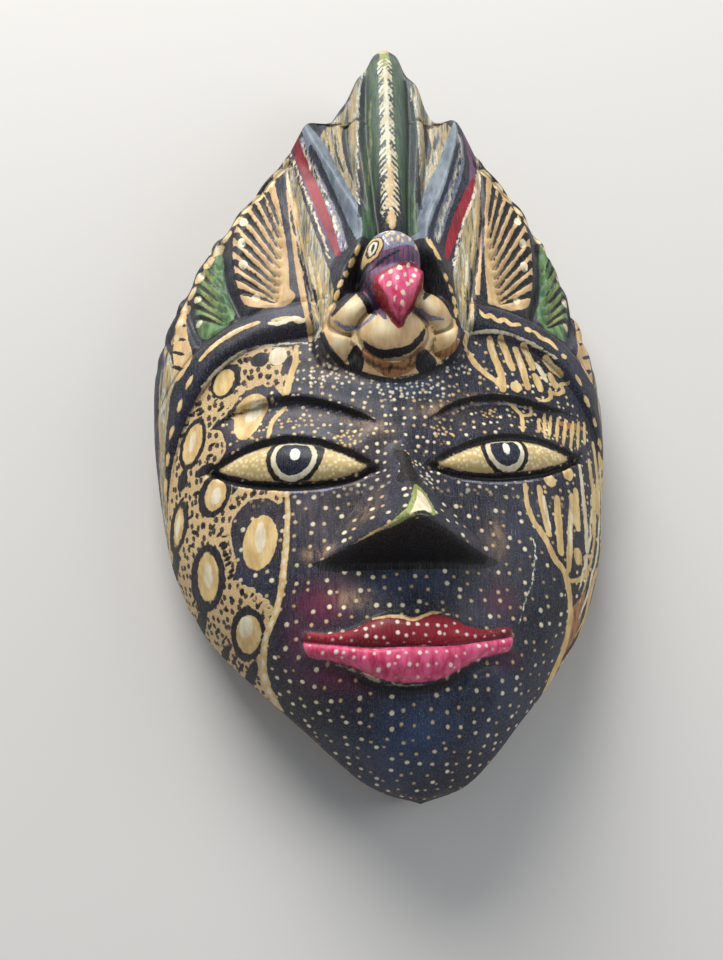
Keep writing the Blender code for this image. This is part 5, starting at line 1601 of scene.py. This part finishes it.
# %% Paint on paint
lip_dots, lip_lot = dotted(2.2, 0.36, 0.6)
for name, mixed, thickness in COLOURS:
    there = (coat.number(name) + wobble).over(0.10, -0.14)
    colour = coat.mix(there, colour, mixed)
    raised = raised * (1 - there) + there * thickness
    if name == "net":
        lace = coat.stretched(flat, 1.25, 0.85, 1.0)
        cell = coat.add("ShaderNodeTexVoronoi", {"voronoi_dimensions": "2D", "feature": "F1"},
                        {"Vector": lace, "Scale": 1 / 2.25, "Randomness": 0.6}, "Distance")
        pierced = (cell * 2.25 + (speck - 0.5) * 0.8).over(0.78, 0.56) * coat.number("net").over(-0.35, -0.75)
        colour = coat.mix(pierced * 0.95, colour, shade(34, 30, 38))
        raised = raised * (1 - pierced)
    if name == "rose":
        on_lips = coat.number("lips").over(-0.4, -0.8) * lip_dots * (0.6 + 0.4 * lip_lot)
        colour = coat.mix(on_lips, colour, shade(246, 228, 214))
        raised = raised + on_lips * 0.6
    if name == "ochre":
        in_eye = coat.number("almond").over(-0.3, -0.6)
        colour = coat.mix(in_eye * (0.55 + 0.45 * speck.over(0.35, 0.6)), colour, shade(200, 176, 118))
        flecks = dotted(1.15, 0.33, 1)[0] * in_eye
        colour = coat.mix(flecks * 0.75, colour, shade(238, 226, 180))
        colour = coat.mix(speck.over(0.66, 0.72) * 0.5, colour, shade(150, 100, 48))
        # Painted highlights: the boss's lobes are lightened to a pale cream
        colour = coat.mix(coat.number("glow") * (0.45 + 0.4 * smear), colour, shade(232, 226, 190))

# %% [markdown]
# ## Wear, painted shade, bare wood and varnish
# Paint thins on ridges, so the bend of the carving lightens them, and the cuts are darkened as
# painted shade. The brush never went inside, so the hollow and the rim are bare wood, with
# grain along the block. A thin varnish lies on the paint alone.

# %% Wear and painted shade
colour = coat.mix(coat.number("haze") * (0.24 + 0.3 * speck), colour, shade(104, 116, 110))
bend = coat.number("bend")
# Painted shade: the cuts, where the carving bends inward, are darkened towards black
colour = coat.mix(bend.over(-0.5, -1.9) * 0.55, colour, shade(14, 12, 18))
dark_paint = (coat.number("hole") + wobble).over(0.6, 0).math("MAXIMUM",
                                                              (coat.number("ink") + wobble).over(0.6, 0))
worn = bend.over(0.9, 2.4) * (speck + grain).over(0.95, 1.3) * (1 - dark_paint)
colour = coat.mix(worn * 0.5, colour, shade(170, 130, 92))
brushed = fine_grain.over(0.35, 0.75)
colour = coat.mix(brushed * 0.05, colour, shade(236, 224, 210))

# %% Bare wood
rings = coat.noise(coat.stretched(place, 0.34, 0.02, 0.5), 1.0, 3.0, 0.55)
wood = coat.mix(rings.over(0.32, 0.68), shade(168, 124, 78), shade(206, 166, 114))
wood = coat.mix(fine_grain.over(0.5, 0.75) * 0.45, wood, shade(120, 82, 48))
wood = coat.mix(cloud.over(0.5, 0.8) * 0.3, wood, shade(146, 112, 78))
covered = (coat.number("painted") + (speck - 0.5) * 2.4 + (cloud - 0.5) * 2.0).over(-0.15, 0.25)
colour = coat.mix(covered, wood, colour)

# %% The surface
roughness = covered * (0.40 + 0.20 * smear + 0.08 * raised + scratches * 0.2) + (1 - covered) * 0.75
painted_relief = raised * 0.9 + speck * 0.35 + brushed * 0.25
relief = covered * painted_relief + (1 - covered) * (fine_grain * 1.3 + rings * 0.8)
bump = coat.add("ShaderNodeBump", {}, {"Strength": 0.55, "Distance": 0.00016, "Height": relief}, "Normal")
coat.put(coat.shader, {"Base Color": colour, "Roughness": roughness, "Normal": bump,
                       "Coat Weight": covered * 0.1, "Coat Roughness": 0.2, "Specular IOR Level": 0.2})
carving.materials.append(coat.material)
print(len(coat.tree.nodes), "nodes in the finish")


# %% The floor
floor_mesh = bpy.data.meshes.new("floor")
plane = bmesh.new()
bmesh.ops.create_grid(plane, x_segments=1, y_segments=1, size=1.5)
plane.to_mesh(floor_mesh)
plane.free()
floor = bpy.data.objects.new("floor", floor_mesh)
bpy.context.scene.collection.objects.link(floor)
pale = bpy.data.materials.new("pale_floor")
pale.use_nodes = True
pale.node_tree.nodes["Principled BSDF"].inputs["Base Color"].default_value = (0.60, 0.585, 0.56, 1)
pale.node_tree.nodes["Principled BSDF"].inputs["Roughness"].default_value = 0.9
floor_mesh.materials.append(pale)

# %% The mask rides where the CAD puts it
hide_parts("mask")
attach(mask, "root")
